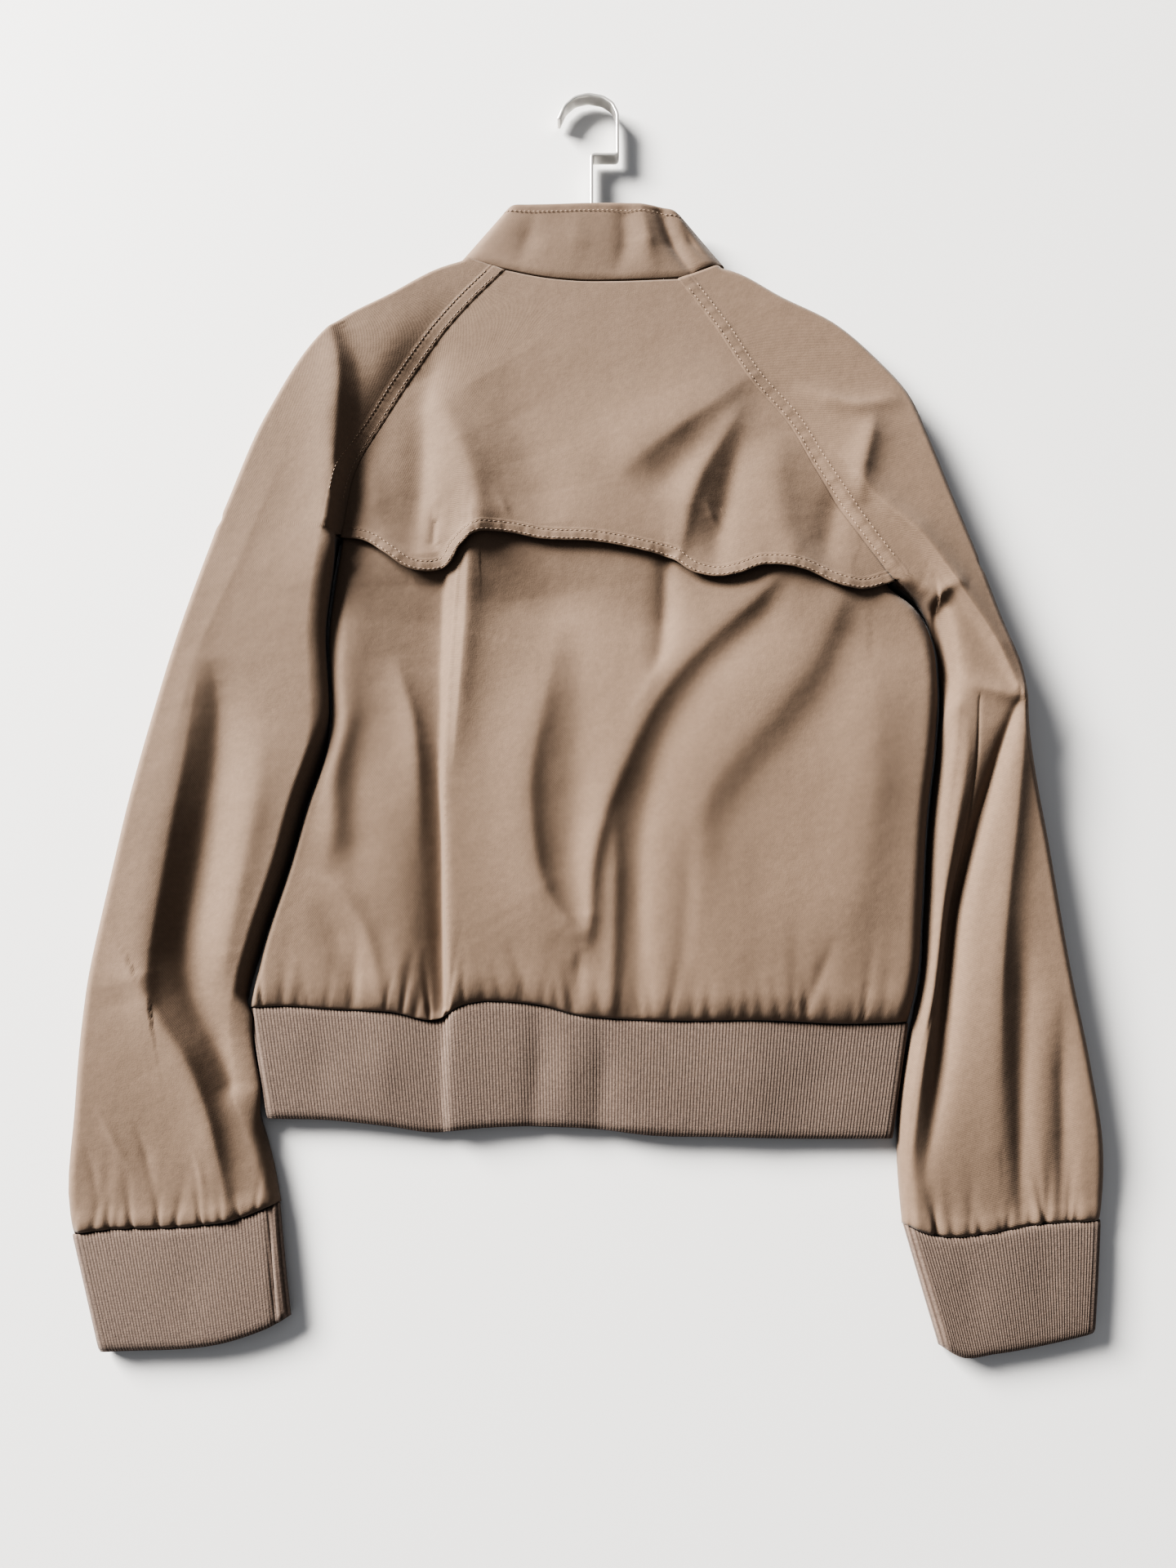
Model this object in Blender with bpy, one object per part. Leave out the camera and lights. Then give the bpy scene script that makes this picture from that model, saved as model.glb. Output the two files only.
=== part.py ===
"""A raglan bomber jacket on a flat steel hanger, lying on its front with its back up.

Every cloth panel is a wall of its own, and each wall starts as an even grid whose points are
placed by the cut of the panel and by one height field for the cloth that lies over the hanger.
+X is to the right of the back, +Y runs from hem to collar and +Z is up from the surface.
"Left" is the wearer's left, at -X. Tables are in millimetres, and the model is in metres.
"""
import math

import bmesh
import bpy
import numpy as np

MM = 0.001

# ---- driving dimensions, mm ----
CLOTH = 1.5            # wall of a cotton panel with its folded edges
KNIT = 2.5             # wall of the rib knit, and of the two layers of the collar
SEAM = 0.3             # gap between two pieces at a seam
UNDER_FLAP = 2.5       # how far the back's face lies under the storm flap's face
RIM = 2.1              # height of a panel's edge where it meets the front under it
UNDERARM_RIM = 20.0    # how much higher that edge may be at the underarm point
UNDERARM_REACH = 20.0  # how far from that point the edge is raised
SEAM_BLEND = 22.0      # how far from the raglan seam a sleeve takes the body's height
FOLD_END = 0.18        # share of a fold's length over which it fades out at each end
HEM_HEIGHT = 12.0      # hem rib, both layers laid flat
CUFF_HEIGHT = 13.0     # cuff rib, both layers laid flat
RIB_RISE = 0.8         # how far each rib stands up
RIB_PITCH = 4.6        # from rib to rib
GATHERS = 37           # gathers of the back into the hem rib
SLEEVE_GATHERS = 9     # gathers of a sleeve's back into its cuff
GATHER_RISE = 2.4
SLEEVE_GATHER_RISE = 2.0
GATHER_LENGTH = 17.0   # how far up the cloth a gather is felt
STRIP = 3.0            # thickness of the hanger's steel strip
STRIP_DEPTH = 11.0     # width of the strip, which stands on edge
STRIP_LOW = 2.9        # height of the strip's lower edge, just above the collar's front
FRONT_EDGE = 5.0       # from the middle of the zip to each front's edge
ZIP_FOOT = -341.0      # y of the lower end of the zip
ZIP_TOP = 272.0        # y of the upper end of the zip
TAPE_WIDTH = 12.0      # zip tape, from the middle of the teeth's edge
TAPE_THICKNESS = 0.6
TAPE_LOW = KNIT + SEAM     # the tapes lie on the hem rib's and the collar's fronts
TEETH_WIDTH = 5.4      # closed zip teeth
TEETH_LOW = 2.0
TEETH_HIGH = 4.2
SLIDER_WIDTH = 8.0
SLIDER_LENGTH = 10.5
SLIDER_LOW = 0.4       # underside of the slider's ears and of the pull between them
EAR = 0.9              # thickness of each ear
PLATE = 0.7            # thickness of the slider's plate under the tapes
PULL_LENGTH = 28.0     # zip pull, from its hinge
PULL_WIDTH = 5.2
PULL_THICKNESS = 1.1
FRAME_SHIFT = (1.0, 2.27)   # moves the middle of the plan to the origin

# ---- cut lines in plan, mm ----
RAGLAN_LEFT = [(-186, 84), (-176, 140), (-156, 180), (-129, 226), (-97, 271), (-66, 306)]
RAGLAN_RIGHT = [(226, 46), (196, 92), (171, 136), (152, 174), (124, 211), (101, 252), (71, 298)]
SCALLOP = [(-186, 84), (-166, 80), (-151, 70), (-134, 59), (-119, 57), (-104, 61), (-95, 74),
           (-82, 83), (-64, 85), (-33, 80), (7, 77), (41, 70), (59, 65), (78, 52), (96, 48),
           (114, 51), (127, 56), (142, 56), (164, 51), (181, 43), (200, 39), (226, 46)]
NECK_SEAM = [(-66, 306), (-34, 299), (-4, 296), (21, 296), (71, 298)]
BODY_LEFT = [(-235, -262), (-226, -215), (-212, -165), (-200, -115), (-189, -80), (-192, 20),
             (-186, 84)]
BODY_RIGHT = [(222, -272), (230, -243), (236, -194), (244, -125), (252, -77), (257, -29),
              (255, 5), (244, 30), (226, 46)]
HEM_SEAM = [(-235, -262), (-209, -261), (-177, -263), (-137, -265), (-101, -269), (-92, -263),
            (-74, -258), (-58, -258), (-30, -261), (-8, -267), (11, -269), (60, -271),
            (126, -271), (175, -273), (222, -272)]
HEM_EDGE = [(-219, -336), (-175, -337), (-136, -341), (-100, -345), (-92, -344), (-42, -341),
            (7, -343), (43, -347), (92, -348), (140, -349), (207, -349)]
SLEEVE_LEFT_OUTER = [(-344, -410), (-348, -395), (-350, -330), (-348, -245), (-341, -192),
                     (-326, -100), (-306, -6), (-278, 96)]
SHOULDER_LEFT = [(-278, 96), (-247, 183), (-207, 251), (-197, 261), (-158, 286), (-117, 313),
                 (-101, 319)]
SLEEVE_LEFT_INNER = [(-207, -390), (-214, -362), (-223, -336), (-231, -308), (-237, -280),
                     (-237.5, -262), (-228, -215), (-214, -165), (-202, -115), (-191.6, -80),
                     (-194.6, 20), (-188, 84)]
CUFF_SEAM_LEFT = [(-344, -410), (-320, -407), (-266, -405), (-236, -401), (-207, -390)]
CUFF_EDGE_LEFT = [(-320, -483), (-229, -475), (-207, -467), (-196, -461)]
SLEEVE_RIGHT_OUTER = [(343, -401), (346, -387), (349, -357), (345, -304), (337, -243),
                      (328, -148), (320, -69), (319, -22), (307, 15), (294, 60)]
SHOULDER_RIGHT = [(294, 60), (277, 113), (261, 165), (248, 202), (224, 234), (195, 263),
                  (154, 287), (114, 311), (107, 313)]
SLEEVE_RIGHT_INNER = [(211, -404), (210, -357), (213, -325), (224.8, -272), (232.4, -243),
                      (238.4, -194), (246.4, -125), (254.4, -77), (259.6, -29), (257.8, 6),
                      (246.4, 32), (227.6, 47.4)]
CUFF_SEAM_RIGHT = [(211, -404), (227, -410), (269, -409), (290, -405), (343, -401)]
CUFF_EDGE_RIGHT = [(230, -479), (244, -486), (265, -484), (306, -477), (333, -471)]
NECK_POINT = (-88, 284)    # where the raglan seam of a front meets its neckline
FRONT_NECK = [NECK_POINT, (-60, 246), (-30, 224), (-FRONT_EDGE, 216)]
SLEEVE_NECK_LEFT = [(-105, 312), (-98, 298), (-89, 284.6)]
SLEEVE_NECK_RIGHT = [(110, 306), (99, 296), (89, 284.6)]
HANGER_ARM = [(-197, 247), (-150, 266), (-100, 280), (-50, 289), (0, 292), (50, 289),
              (100, 280), (150, 266), (197, 247)]
STEM = [(3, 294.2), (3, 420)]
CRANK = (24, 420)
HOOK_BEND = [(24, 461), (20, 471), (12, 477.5), (0, 480), (-11, 477), (-19, 469), (-24, 455)]

# ---- height of the cloth: x, y, z ----
BODY_HEIGHTS = [
    (-60, 290, 20), (0, 300, 20), (60, 290, 20), (-100, 230, 20), (0, 220, 21), (120, 220, 21),
    (-150, 160, 18), (-80, 130, 22), (20, 130, 24), (110, 120, 24), (180, 110, 23),
    (-165, 60, 18), (-90, 40, 23), (20, 40, 26), (120, 20, 27), (215, 20, 24),
    (-165, -50, 16), (-100, -60, 25), (0, -60, 24), (100, -60, 29), (210, -60, 27),
    (-180, -150, 15), (-90, -150, 24), (0, -150, 22), (100, -150, 27), (205, -150, 23),
    (-195, -225, 13), (-80, -225, 17), (20, -225, 15), (120, -225, 18), (200, -225, 15),
    (-200, -265, 12), (-80, -265, 12), (20, -265, 12), (120, -265, 12), (210, -265, 12)]
LEFT_HEIGHTS = [
    (-105, 300, 19), (-165, 270, 20), (-195, 240, 22), (-215, 180, 25), (-245, 100, 26),
    (-250, 0, 27), (-250, -90, 26), (-290, -90, 23), (-290, -190, 20), (-255, -190, 25),
    (-300, -290, 20), (-260, -290, 22), (-300, -360, 17), (-240, -360, 15), (-280, -405, 13)]
RIGHT_HEIGHTS = [
    (105, 300, 19), (165, 265, 20), (210, 220, 21), (225, 150, 24), (255, 80, 25),
    (285, 10, 26), (290, -60, 25), (300, -150, 24), (265, -150, 17), (300, -250, 23),
    (250, -250, 18), (290, -330, 20), (235, -330, 18), (280, -390, 14), (280, -405, 13)]
HEIGHT_REACH = 34.0    # how far one of these heights is felt

# ---- how the grids are spaced: shares of a panel's width from its side, and of its length ----
SIDE_SHARES = (0, 0.003, 0.008, 0.016, 0.026)
EVEN_SHARE = 0.04      # where the even columns between the sides begin
BACK_ROWS = (0, 0.035, 0.09, 0.19, 0.32, 0.47, 0.62, 0.77, 0.9, 1)
SLEEVE_ROWS = (0, 0.03, 0.08, 0.16, 0.27, 0.39, 0.51, 0.63, 0.75, 0.88, 1)
RAGLAN_ROWS = (0, 0.25, 0.5, 0.75, 1)
COLLAR_ROWS = (0, 0.33, 0.67, 1)
COLLAR_COLUMNS = 47

# ---- storm flap: share across, width of the arch in shares, lift at the arch ----
FLAP_ARCHES = [(0.27, 0.06, 4.0), (0.70, 0.09, 3.0)]
FLAP_STAND = 2.0       # lift of the rest of the flap's edge
FLAP_FADE = 26.0       # how far up the flap the lift is felt
UNDER_FADE = 30.0      # how far below the flap's edge the back still lies lower

# ---- radius with which each panel rounds down over its free edges ----
BODY_LEFT_RADIUS = 10.0
BODY_RIGHT_RADIUS = 14.0
SLEEVE_INNER_RADIUS = 10.0
SLEEVE_OUTER_RADIUS = 16.0
SHOULDER_RADIUS = 9.0

# ---- folds: points, rise, width of its left side and of its right side (seen from its start) ----
BODY_FOLDS = [
    ([(-97, 66), (-102, -57), (-102, -94), (-100, -150), (-96, -262)], 6, 8, 34),
    ([(-124, 30), (-122, -57), (-112, -159), (-103, -250)], -5, 12, 12),
    ([(-133, -23), (-149, -81), (-150, -128)], 4, 10, 12),
    ([(-172, -75), (-186, -140)], 4, 12, 8),
    ([(-194, -169), (-156, -207), (-141, -251)], 5, 12, 9),
    ([(-24, 4), (-39, -93), (-36, -162), (0, -214)], -7, 12, 11),
    ([(47, -25), (9, -123), (2, -230)], 7, 8, 14),
    ([(60, -35), (22, -130), (14, -215), (8, -255)], -6, 8, 8),
    ([(106, 24), (71, -8), (41, -81), (32, -140), (31, -250)], -7, 11, 12),
    ([(178, 29), (149, -47), (115, -86), (84, -125), (66, -230)], -6, 13, 13),
    ([(48, 60), (47, 0)], -4, 8, 8),
    ([(200, 10), (196, -90), (170, -190)], 4, 22, 26),
    ([(-128, 200), (-96, 167), (-94, 131), (-106, 78)], 6, 14, 18),
    ([(-122, 166), (-146, 149), (-142, 80)], -4, 10, 10),
    ([(-160, 160), (-158, 122), (-150, 84)], 4, 10, 10),
    ([(-70, 192), (-70, 168)], -4, 22, 22),
    ([(118, 182), (102, 140), (82, 80)], -6, 13, 15),
    ([(166, 150), (140, 110), (127, 62)], 5, 15, 16),
    ([(40, 110), (20, 78)], 4, 22, 22)]
LEFT_FOLDS = [
    ([(-196, 246), (-180, 215), (-186, 160), (-189, 87)], 7, 8, 26),
    ([(-223, 157), (-259, 54), (-284, -16), (-298, -110)], 4, 14, 9),
    ([(-284, -17), (-270, -50), (-275, -110), (-288, -180), (-300, -247)], -8, 11, 15),
    ([(-306, -240), (-275, -290), (-253, -335), (-246, -372)], 7, 7, 17),
    ([(-228, -60), (-226, -150), (-236, -240)], 4, 18, 14)]
RIGHT_FOLDS = [
    ([(216, 180), (206, 130), (226, 98), (247, 76), (277, 30), (296, -20)], 8, 17, 6),
    ([(176, 196), (222, 186), (244, 160)], 6, 12, 9),
    ([(305, -44), (283, -116), (262, -180), (250, -250)], -9, 9, 7),
    ([(311, -27), (306, -90), (292, -190), (282, -280)], 6, 16, 7),
    ([(292, -235), (296, -326), (290, -390)], -4, 9, 9),
    ([(320, -300), (320, -350), (314, -390)], -4, 8, 8)]

# ---- colours: red, green, blue, roughness, metallic ----
FINISHES = {
    "cloth": (0.376, 0.275, 0.206, 0.8, 0.0),
    "rib": (0.30, 0.205, 0.155, 0.9, 0.0),
    "tape": (0.33, 0.24, 0.18, 0.85, 0.0),
    "brass": (0.42, 0.34, 0.24, 0.4, 1.0),
    "steel": (0.62, 0.60, 0.57, 0.3, 1.0)}


def spline(points, even=False):
    """A smooth curve through the points, as a function of a share from 0 to 1.

    The share is of the length or, where even, of the number of points.
    """
    path = np.array(points, float)
    gaps = np.ones(len(path) - 1) if even else np.linalg.norm(np.diff(path, axis=0), axis=1)
    knots = np.concatenate([[0.0], np.cumsum(gaps)]) / gaps.sum()
    slopes = np.gradient(path, knots, axis=0)

    def at(share):
        share = np.asarray(share, float)
        start = np.clip(np.searchsorted(knots, share, side="right") - 1, 0, len(knots) - 2)
        span = (knots[start + 1] - knots[start])[..., None]
        s = (share[..., None] - knots[start][..., None]) / span
        away = 2 * s**3 - 3 * s**2 + 1
        return (away * path[start] + (1 - away) * path[start + 1]
                + (s**3 - 2 * s**2 + s) * span * slopes[start]
                + (s**3 - s**2) * span * slopes[start + 1])
    return at


def patch(bottom, top, left, right, across, up):
    """Plan points of a panel between four curves, by row from the bottom and by column."""
    u = across[None, :, None]
    v = up[:, None, None]
    low, high = bottom(across)[None], top(across)[None]
    near, far = left(up)[:, None], right(up)[:, None]
    corners = ((1 - u) * (1 - v) * low[:, :1] + u * (1 - v) * low[:, -1:]
               + (1 - u) * v * high[:, :1] + u * v * high[:, -1:])
    return (1 - v) * low + v * high + (1 - u) * near + u * far - corners


def straight(start, end):
    """The straight line from start to end, as a function of its share."""
    start, end = np.array(start, float), np.array(end, float)
    return lambda share: start + np.asarray(share)[..., None] * (end - start)


def along(x, y, points):
    """Signed distance from each point to a curve, positive on its right, and the share there."""
    path = spline(points)(np.linspace(0, 1, 4 * len(points)))
    nearest = np.full(x.shape, np.inf)
    side = np.zeros(x.shape)
    share = np.zeros(x.shape)
    for i in range(len(path) - 1):
        (ax, ay), (bx, by) = path[i], path[i + 1]
        dx, dy = bx - ax, by - ay
        t = np.clip(((x - ax) * dx + (y - ay) * dy) / (dx * dx + dy * dy), 0, 1)
        far = np.hypot(x - ax - t * dx, y - ay - t * dy)
        closer = far < nearest
        nearest = np.where(closer, far, nearest)
        side = np.where(closer, np.sign((y - ay) * dx - (x - ax) * dy), side)
        share = np.where(closer, (i + t) / (len(path) - 1), share)
    return -side * nearest, share


def rolling(x, y, heights):
    """Smooth height between the listed ones."""
    total = np.zeros(x.shape)
    weights = np.full(x.shape, 1e-12)
    for px, py, pz in heights:
        weight = np.exp(-((x - px) ** 2 + (y - py) ** 2) / (2 * HEIGHT_REACH**2))
        total += weight * pz
        weights += weight
    return total / weights


def folded(x, y, folds):
    """Sum of the folds, each fading out towards both its ends."""
    height = np.zeros(x.shape)
    for points, rise, left_width, right_width in folds:
        offset, share = along(x, y, points)
        width = np.where(offset < 0, left_width, right_width)
        ends = np.clip(np.minimum(share, 1 - share) / FOLD_END, 0, 1)
        height += rise * np.exp(-(offset / width) ** 2) * ends * ends * (3 - 2 * ends)
    return height


def body_height(x, y):
    return rolling(x, y, BODY_HEIGHTS) + folded(x, y, BODY_FOLDS)


def sleeve_height(x, y, raglan, heights, folds):
    """Height of a sleeve, which joins the body's height at the raglan seam."""
    own = rolling(x, y, heights) + folded(x, y, folds)
    near = np.exp(-(along(x, y, raglan)[0] / SEAM_BLEND) ** 2)
    return near * body_height(x, y) + (1 - near) * own


def rounded(x, y, height, underarm, edges):
    """Bring the height down to the rim over each free edge: its points and its radius."""
    share = np.ones(x.shape)
    for points, radius in edges:
        inside = np.clip(np.abs(along(x, y, points)[0]) / radius, 0, 1)
        share = np.minimum(share, np.sqrt(1 - (1 - inside) ** 2))
    near = np.exp(-((x - underarm[0]) ** 2 + (y - underarm[1]) ** 2) / UNDERARM_REACH**2)
    rim = np.minimum(RIM + UNDERARM_RIM * near, height)
    return rim + (height - rim) * share


def side_columns(middle):
    """Shares across a panel: close together where it rounds down at the sides, even between."""
    side = np.array(SIDE_SHARES)
    between = np.linspace(EVEN_SHARE, 1 - EVEN_SHARE, middle + 1)
    return np.concatenate([side, between, 1 - side[::-1]])


def gather(across, distance, count, height):
    """Small uneven waves that stand where cloth is gathered into a rib, on alternate columns."""
    wave = np.cos(2 * np.pi * count * (across - EVEN_SHARE) / (1 - 2 * EVEN_SHARE))
    uneven = 0.65 + 0.35 * np.sin(23 * across + 1) * np.sin(61 * across)
    inside = (across >= EVEN_SHARE) & (across <= 1 - EVEN_SHARE)
    return height * wave * uneven * np.exp(-(distance / GATHER_LENGTH) ** 2) * inside


def finish(name):
    """The material of that name, made once."""
    material = bpy.data.materials.get(name)
    if material is None:
        red, green, blue, roughness, metallic = FINISHES[name]
        material = bpy.data.materials.new(name)
        material.use_nodes = True
        shader = material.node_tree.nodes["Principled BSDF"]
        shader.inputs["Base Color"].default_value = (red, green, blue, 1.0)
        shader.inputs["Roughness"].default_value = roughness
        shader.inputs["Metallic"].default_value = metallic
    return material


def place(piece, collection, origin, material):
    """Put a finished object in the jacket's collection, under its origin."""
    for old in piece.users_collection:
        old.objects.unlink(piece)
    collection.objects.link(piece)
    piece.parent = origin
    piece.data.materials.append(finish(material))
    return piece


def wall(name, points, thickness, raised=()):
    """A wall whose outer face goes through a grid of points, with ribs on the columns raised."""
    rows, columns = points.shape[:2]
    mesh = bmesh.new()
    bmesh.ops.create_grid(mesh, x_segments=columns - 1, y_segments=rows - 1, size=0.5)
    grid = mesh.verts[:]
    for vertex, point in zip(grid, points.reshape(-1, 3) * MM):
        vertex.co = point
    ribs = [grid[row * columns + column] for row in range(rows) for column in raised]
    if np.allclose(points[:, 0], points[:, -1]):
        bmesh.ops.remove_doubles(mesh, verts=grid, dist=1e-6)
    bmesh.ops.triangulate(mesh, faces=mesh.faces[:], quad_method="FIXED")
    mesh.normal_update()
    rises = [vertex.normal * RIB_RISE * MM for vertex in ribs]
    bmesh.ops.solidify(mesh, geom=mesh.faces[:], thickness=thickness * MM)
    for vertex, rise in zip(ribs, rises):
        vertex.co += rise
    data = bpy.data.meshes.new(name)
    mesh.to_mesh(data)
    mesh.free()
    return bpy.data.objects.new(name, data)


def plate(name, outline, low, high):
    """A flat outline in plan, filled and extruded between two heights."""
    data = bpy.data.curves.new(name, "CURVE")
    data.dimensions = "2D"
    data.fill_mode = "BOTH"
    data.extrude = (high - low) / 2 * MM
    line = data.splines.new("POLY")
    line.points.add(len(outline) - 1)
    for point, (x, y) in zip(line.points, outline):
        point.co = (x * MM, y * MM, 0, 1)
    line.use_cyclic_u = True
    piece = bpy.data.objects.new(name, data)
    piece.location.z = (low + high) / 2 * MM
    return piece


def strip_outline(points, width):
    """Outline in plan of a strip of that width along the points."""
    path = np.array(points, float)
    ahead = np.gradient(path, axis=0)
    ahead /= np.linalg.norm(ahead, axis=1)[:, None]
    side = np.column_stack([-ahead[:, 1], ahead[:, 0]]) * width / 2
    return np.concatenate([path + side, (path - side)[::-1]])


def shifted(points, x, y=0.0):
    return [(px + x, py + y) for px, py in points]


def back_points():
    """Grid of the back: hem seam to the flap's edge, then on under the flap to the neck seam."""
    across = side_columns(2 * GATHERS)
    low_rows, high_rows = np.array(BACK_ROWS), np.array(RAGLAN_ROWS)
    low = patch(spline(HEM_SEAM), spline(SCALLOP), spline(BODY_LEFT), spline(BODY_RIGHT),
                across, low_rows)
    high = patch(spline(SCALLOP), spline(NECK_SEAM), spline(RAGLAN_LEFT), spline(RAGLAN_RIGHT),
                 across, high_rows)
    plan = np.concatenate([low, high[1:]])
    x, y = plan[..., 0], plan[..., 1]
    height = body_height(x, y)
    height += gather(across[None], y - y[:1], GATHERS, GATHER_RISE)
    for side, radius in ((BODY_LEFT, BODY_LEFT_RADIUS), (BODY_RIGHT, BODY_RIGHT_RADIUS)):
        height = rounded(x, y, height, side[-1], [(side, radius)])
    return np.dstack([x, y, height]), len(low_rows) - 1


def flap_lift(across):
    """How far the storm flap's edge stands off the back, highest at its arches."""
    lift = np.full(across.shape, FLAP_STAND)
    for share, width, rise in FLAP_ARCHES:
        lift += rise * np.exp(-((across - share) / width) ** 2)
    ends = np.clip(np.minimum(across, 1 - across) / (2 * EVEN_SHARE), 0, 1)
    return lift * ends


def sleeve_points(outer, shoulder, inner, raglan, cuff_seam, neck, heights, folds, left):
    """Grid of a sleeve's back: cuff seam to underarm, then raglan seam to the neck."""
    across = side_columns(2 * SLEEVE_GATHERS)
    low_rows, high_rows = np.array(SLEEVE_ROWS), np.array(RAGLAN_ROWS)
    underarm = straight(outer[-1], inner[-1]) if left else straight(inner[-1], outer[-1])
    sides = (outer, inner) if left else (inner, outer)
    uppers = (shoulder, raglan) if left else (raglan, shoulder)
    low = patch(spline(cuff_seam), underarm, spline(sides[0]), spline(sides[1]),
                across, low_rows)
    high = patch(underarm, straight(*neck), spline(uppers[0]), spline(uppers[1]),
                 across, high_rows)
    plan = np.concatenate([low, high[1:]])
    x, y = plan[..., 0], plan[..., 1]
    height = sleeve_height(x, y, raglan, heights, folds)
    height += gather(across[None], y - y[:1], SLEEVE_GATHERS, SLEEVE_GATHER_RISE)
    edges = [(outer, SLEEVE_OUTER_RADIUS), (shoulder, SHOULDER_RADIUS),
             (inner, SLEEVE_INNER_RADIUS)]
    height = rounded(x, y, height, inner[-1], edges)
    return np.dstack([x, y, height])


def band_section(ribs):
    """Section of a flat band: part of the loop, share of it, turn, rise and rib or not.

    The loop starts at the middle of the underside, goes round the left end, over the top, round
    the right end and back under to the middle.
    """
    quarter = np.radians([-90, -60, -30, 0, 30, 60, 90])
    over = np.linspace(0, 1, 2 * ribs + 1)[1:-1]
    return ([("under left", share, 0, 0, False) for share in (0, 0.35, 0.7)]
            + [("left", 1, -math.cos(a), (1 + math.sin(a)) / 2, False) for a in quarter]
            + [("over", share, 0, 1, i % 2 == 0) for i, share in enumerate(over)]
            + [("right", 1, math.cos(a), (1 + math.sin(a)) / 2, False) for a in quarter[::-1]]
            + [("under right", share, 0, 0, False) for share in (0.3, 0.65, 1)])


def band_points(seam, edge, height, half_opening):
    """Grid of a rib band between its seam line and its free edge, and its raised columns."""
    ribs = round((seam[-1][0] - seam[0][0]) / RIB_PITCH)
    section = band_section(ribs)
    grid = np.zeros((2, len(section), 3))
    for row, (line, gap) in enumerate(((edge, 0), (seam, SEAM))):
        left, right = line[0][0] + height / 2, line[-1][0] - height / 2
        middle = 0 if half_opening else (left + right) / 2
        ends = {"under left": (middle - half_opening, left), "left": (left, left),
                "over": (left, right), "right": (right, right),
                "under right": (right, middle + half_opening)}
        for column, (part, share, turn, rise, _) in enumerate(section):
            start, end = ends[part]
            x = start + share * (end - start) + turn * height / 2
            shape = (line[0], line[-1]) if part.startswith("under") else line
            y = np.interp(x, *np.transpose(shape)) - gap * (1 + 3 * abs(turn))
            grid[row, column] = (x, y, rise * height)
    return grid, [column for column, part in enumerate(section) if part[-1]]


def collar_points():
    """Grid of the collar's band, from centre front round the neck and back to centre front."""
    seam = [(-5.5, 217.4, 0.1), (-30, 225.6, 0.1), (-59.3, 248, 0.1), (-86, 286, 0.1),
            (-95, 314, 1.2), (-103, 324, 9), (-92, 317.4, 18.5), (-66, 307.6, 20),
            (-34, 300.4, 20), (-4, 297.4, 20), (21, 297.4, 20), (71, 299.8, 20),
            (84, 305, 20), (97, 310.8, 18.5), (111, 318.5, 9), (103, 309, 1.2),
            (86, 286, 0.1), (59.3, 248, 0.1), (30, 225.6, 0.1), (5.5, 217.4, 0.1)]
    top = [(-5.5, 272, 0.1), (-20, 279, 0.1), (-36, 298, 0.1), (-51, 328, 0.1),
           (-60, 353, 1.2), (-67, 364, 9), (-60, 362, 17.5), (-46, 361, 19.5),
           (-28, 361, 20), (0, 362, 20), (24, 362, 20), (44, 361, 20),
           (57, 359.5, 19.5), (69, 357, 17.5), (80, 353, 9), (71, 343, 1.2),
           (55, 318, 0.1), (40, 296, 0.1), (22, 279, 0.1), (5.5, 272, 0.1)]
    share = np.linspace(0, 1, COLLAR_COLUMNS)
    rows = [(1 - v) * spline(seam, even=True)(share) + v * spline(top, even=True)(share)
            for v in COLLAR_ROWS]
    return np.array(rows)


def mirrored(points):
    return [(-x, y) for x, y in points]


def sampled(points, count):
    """Points along the smooth curve through the points."""
    return [tuple(point) for point in spline(points)(np.linspace(0, 1, count))]


def front_outline(side_seam, raglan, hem_end, neck):
    """Outline of a front: up the side and raglan seams, round the neck and down the zip."""
    edge = neck[-1][0]
    return ([(edge, np.interp(edge, *np.transpose(hem_end)))] + sampled(neck, 9)[::-1]
            + sampled(raglan[:-1] + [neck[0]], 12)[-2::-1] + sampled(side_seam, 14)[-2::-1])


def sleeve_outline(outer, shoulder, neck, raglan, inner):
    """Outline of a sleeve's front: up the outer edge, round the neck, down the inner edge."""
    return (sampled(outer, 14) + sampled(shoulder, 12)[1:-1] + neck
            + sampled(raglan[:-1] + [neck[-1]], 12)[-2::-1] + sampled(inner, 14)[-1::-1])


def box(low, high):
    """A plain box between two corners, as a mesh."""
    mesh = bmesh.new()
    bmesh.ops.create_cube(mesh, size=1)
    for vertex in mesh.verts:
        vertex.co = [(a + (0.5 + c) * (b - a)) * MM for a, b, c in zip(low, high, vertex.co)]
    data = bpy.data.meshes.new("box")
    mesh.to_mesh(data)
    mesh.free()
    return data


def joined(name, boxes, helpers, origin):
    """One body from overlapping boxes; the helpers are joined onto the first."""
    piece = bpy.data.objects.new(name, box(*boxes[0]))
    for low, high in boxes[1:]:
        other = bpy.data.objects.new(name + "_add", box(low, high))
        other.hide_render = True
        other.display_type = "WIRE"
        other.parent = origin
        helpers.objects.link(other)
        union = piece.modifiers.new("join", "BOOLEAN")
        union.operation = "UNION"
        union.object = other
    return piece


def outward(points):
    """Unit normals of a grid of points, away from the surface that the garment lies on."""
    normals = np.cross(np.gradient(points, axis=1), np.gradient(points, axis=0))
    return normals / np.linalg.norm(normals, axis=2)[..., None]


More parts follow.
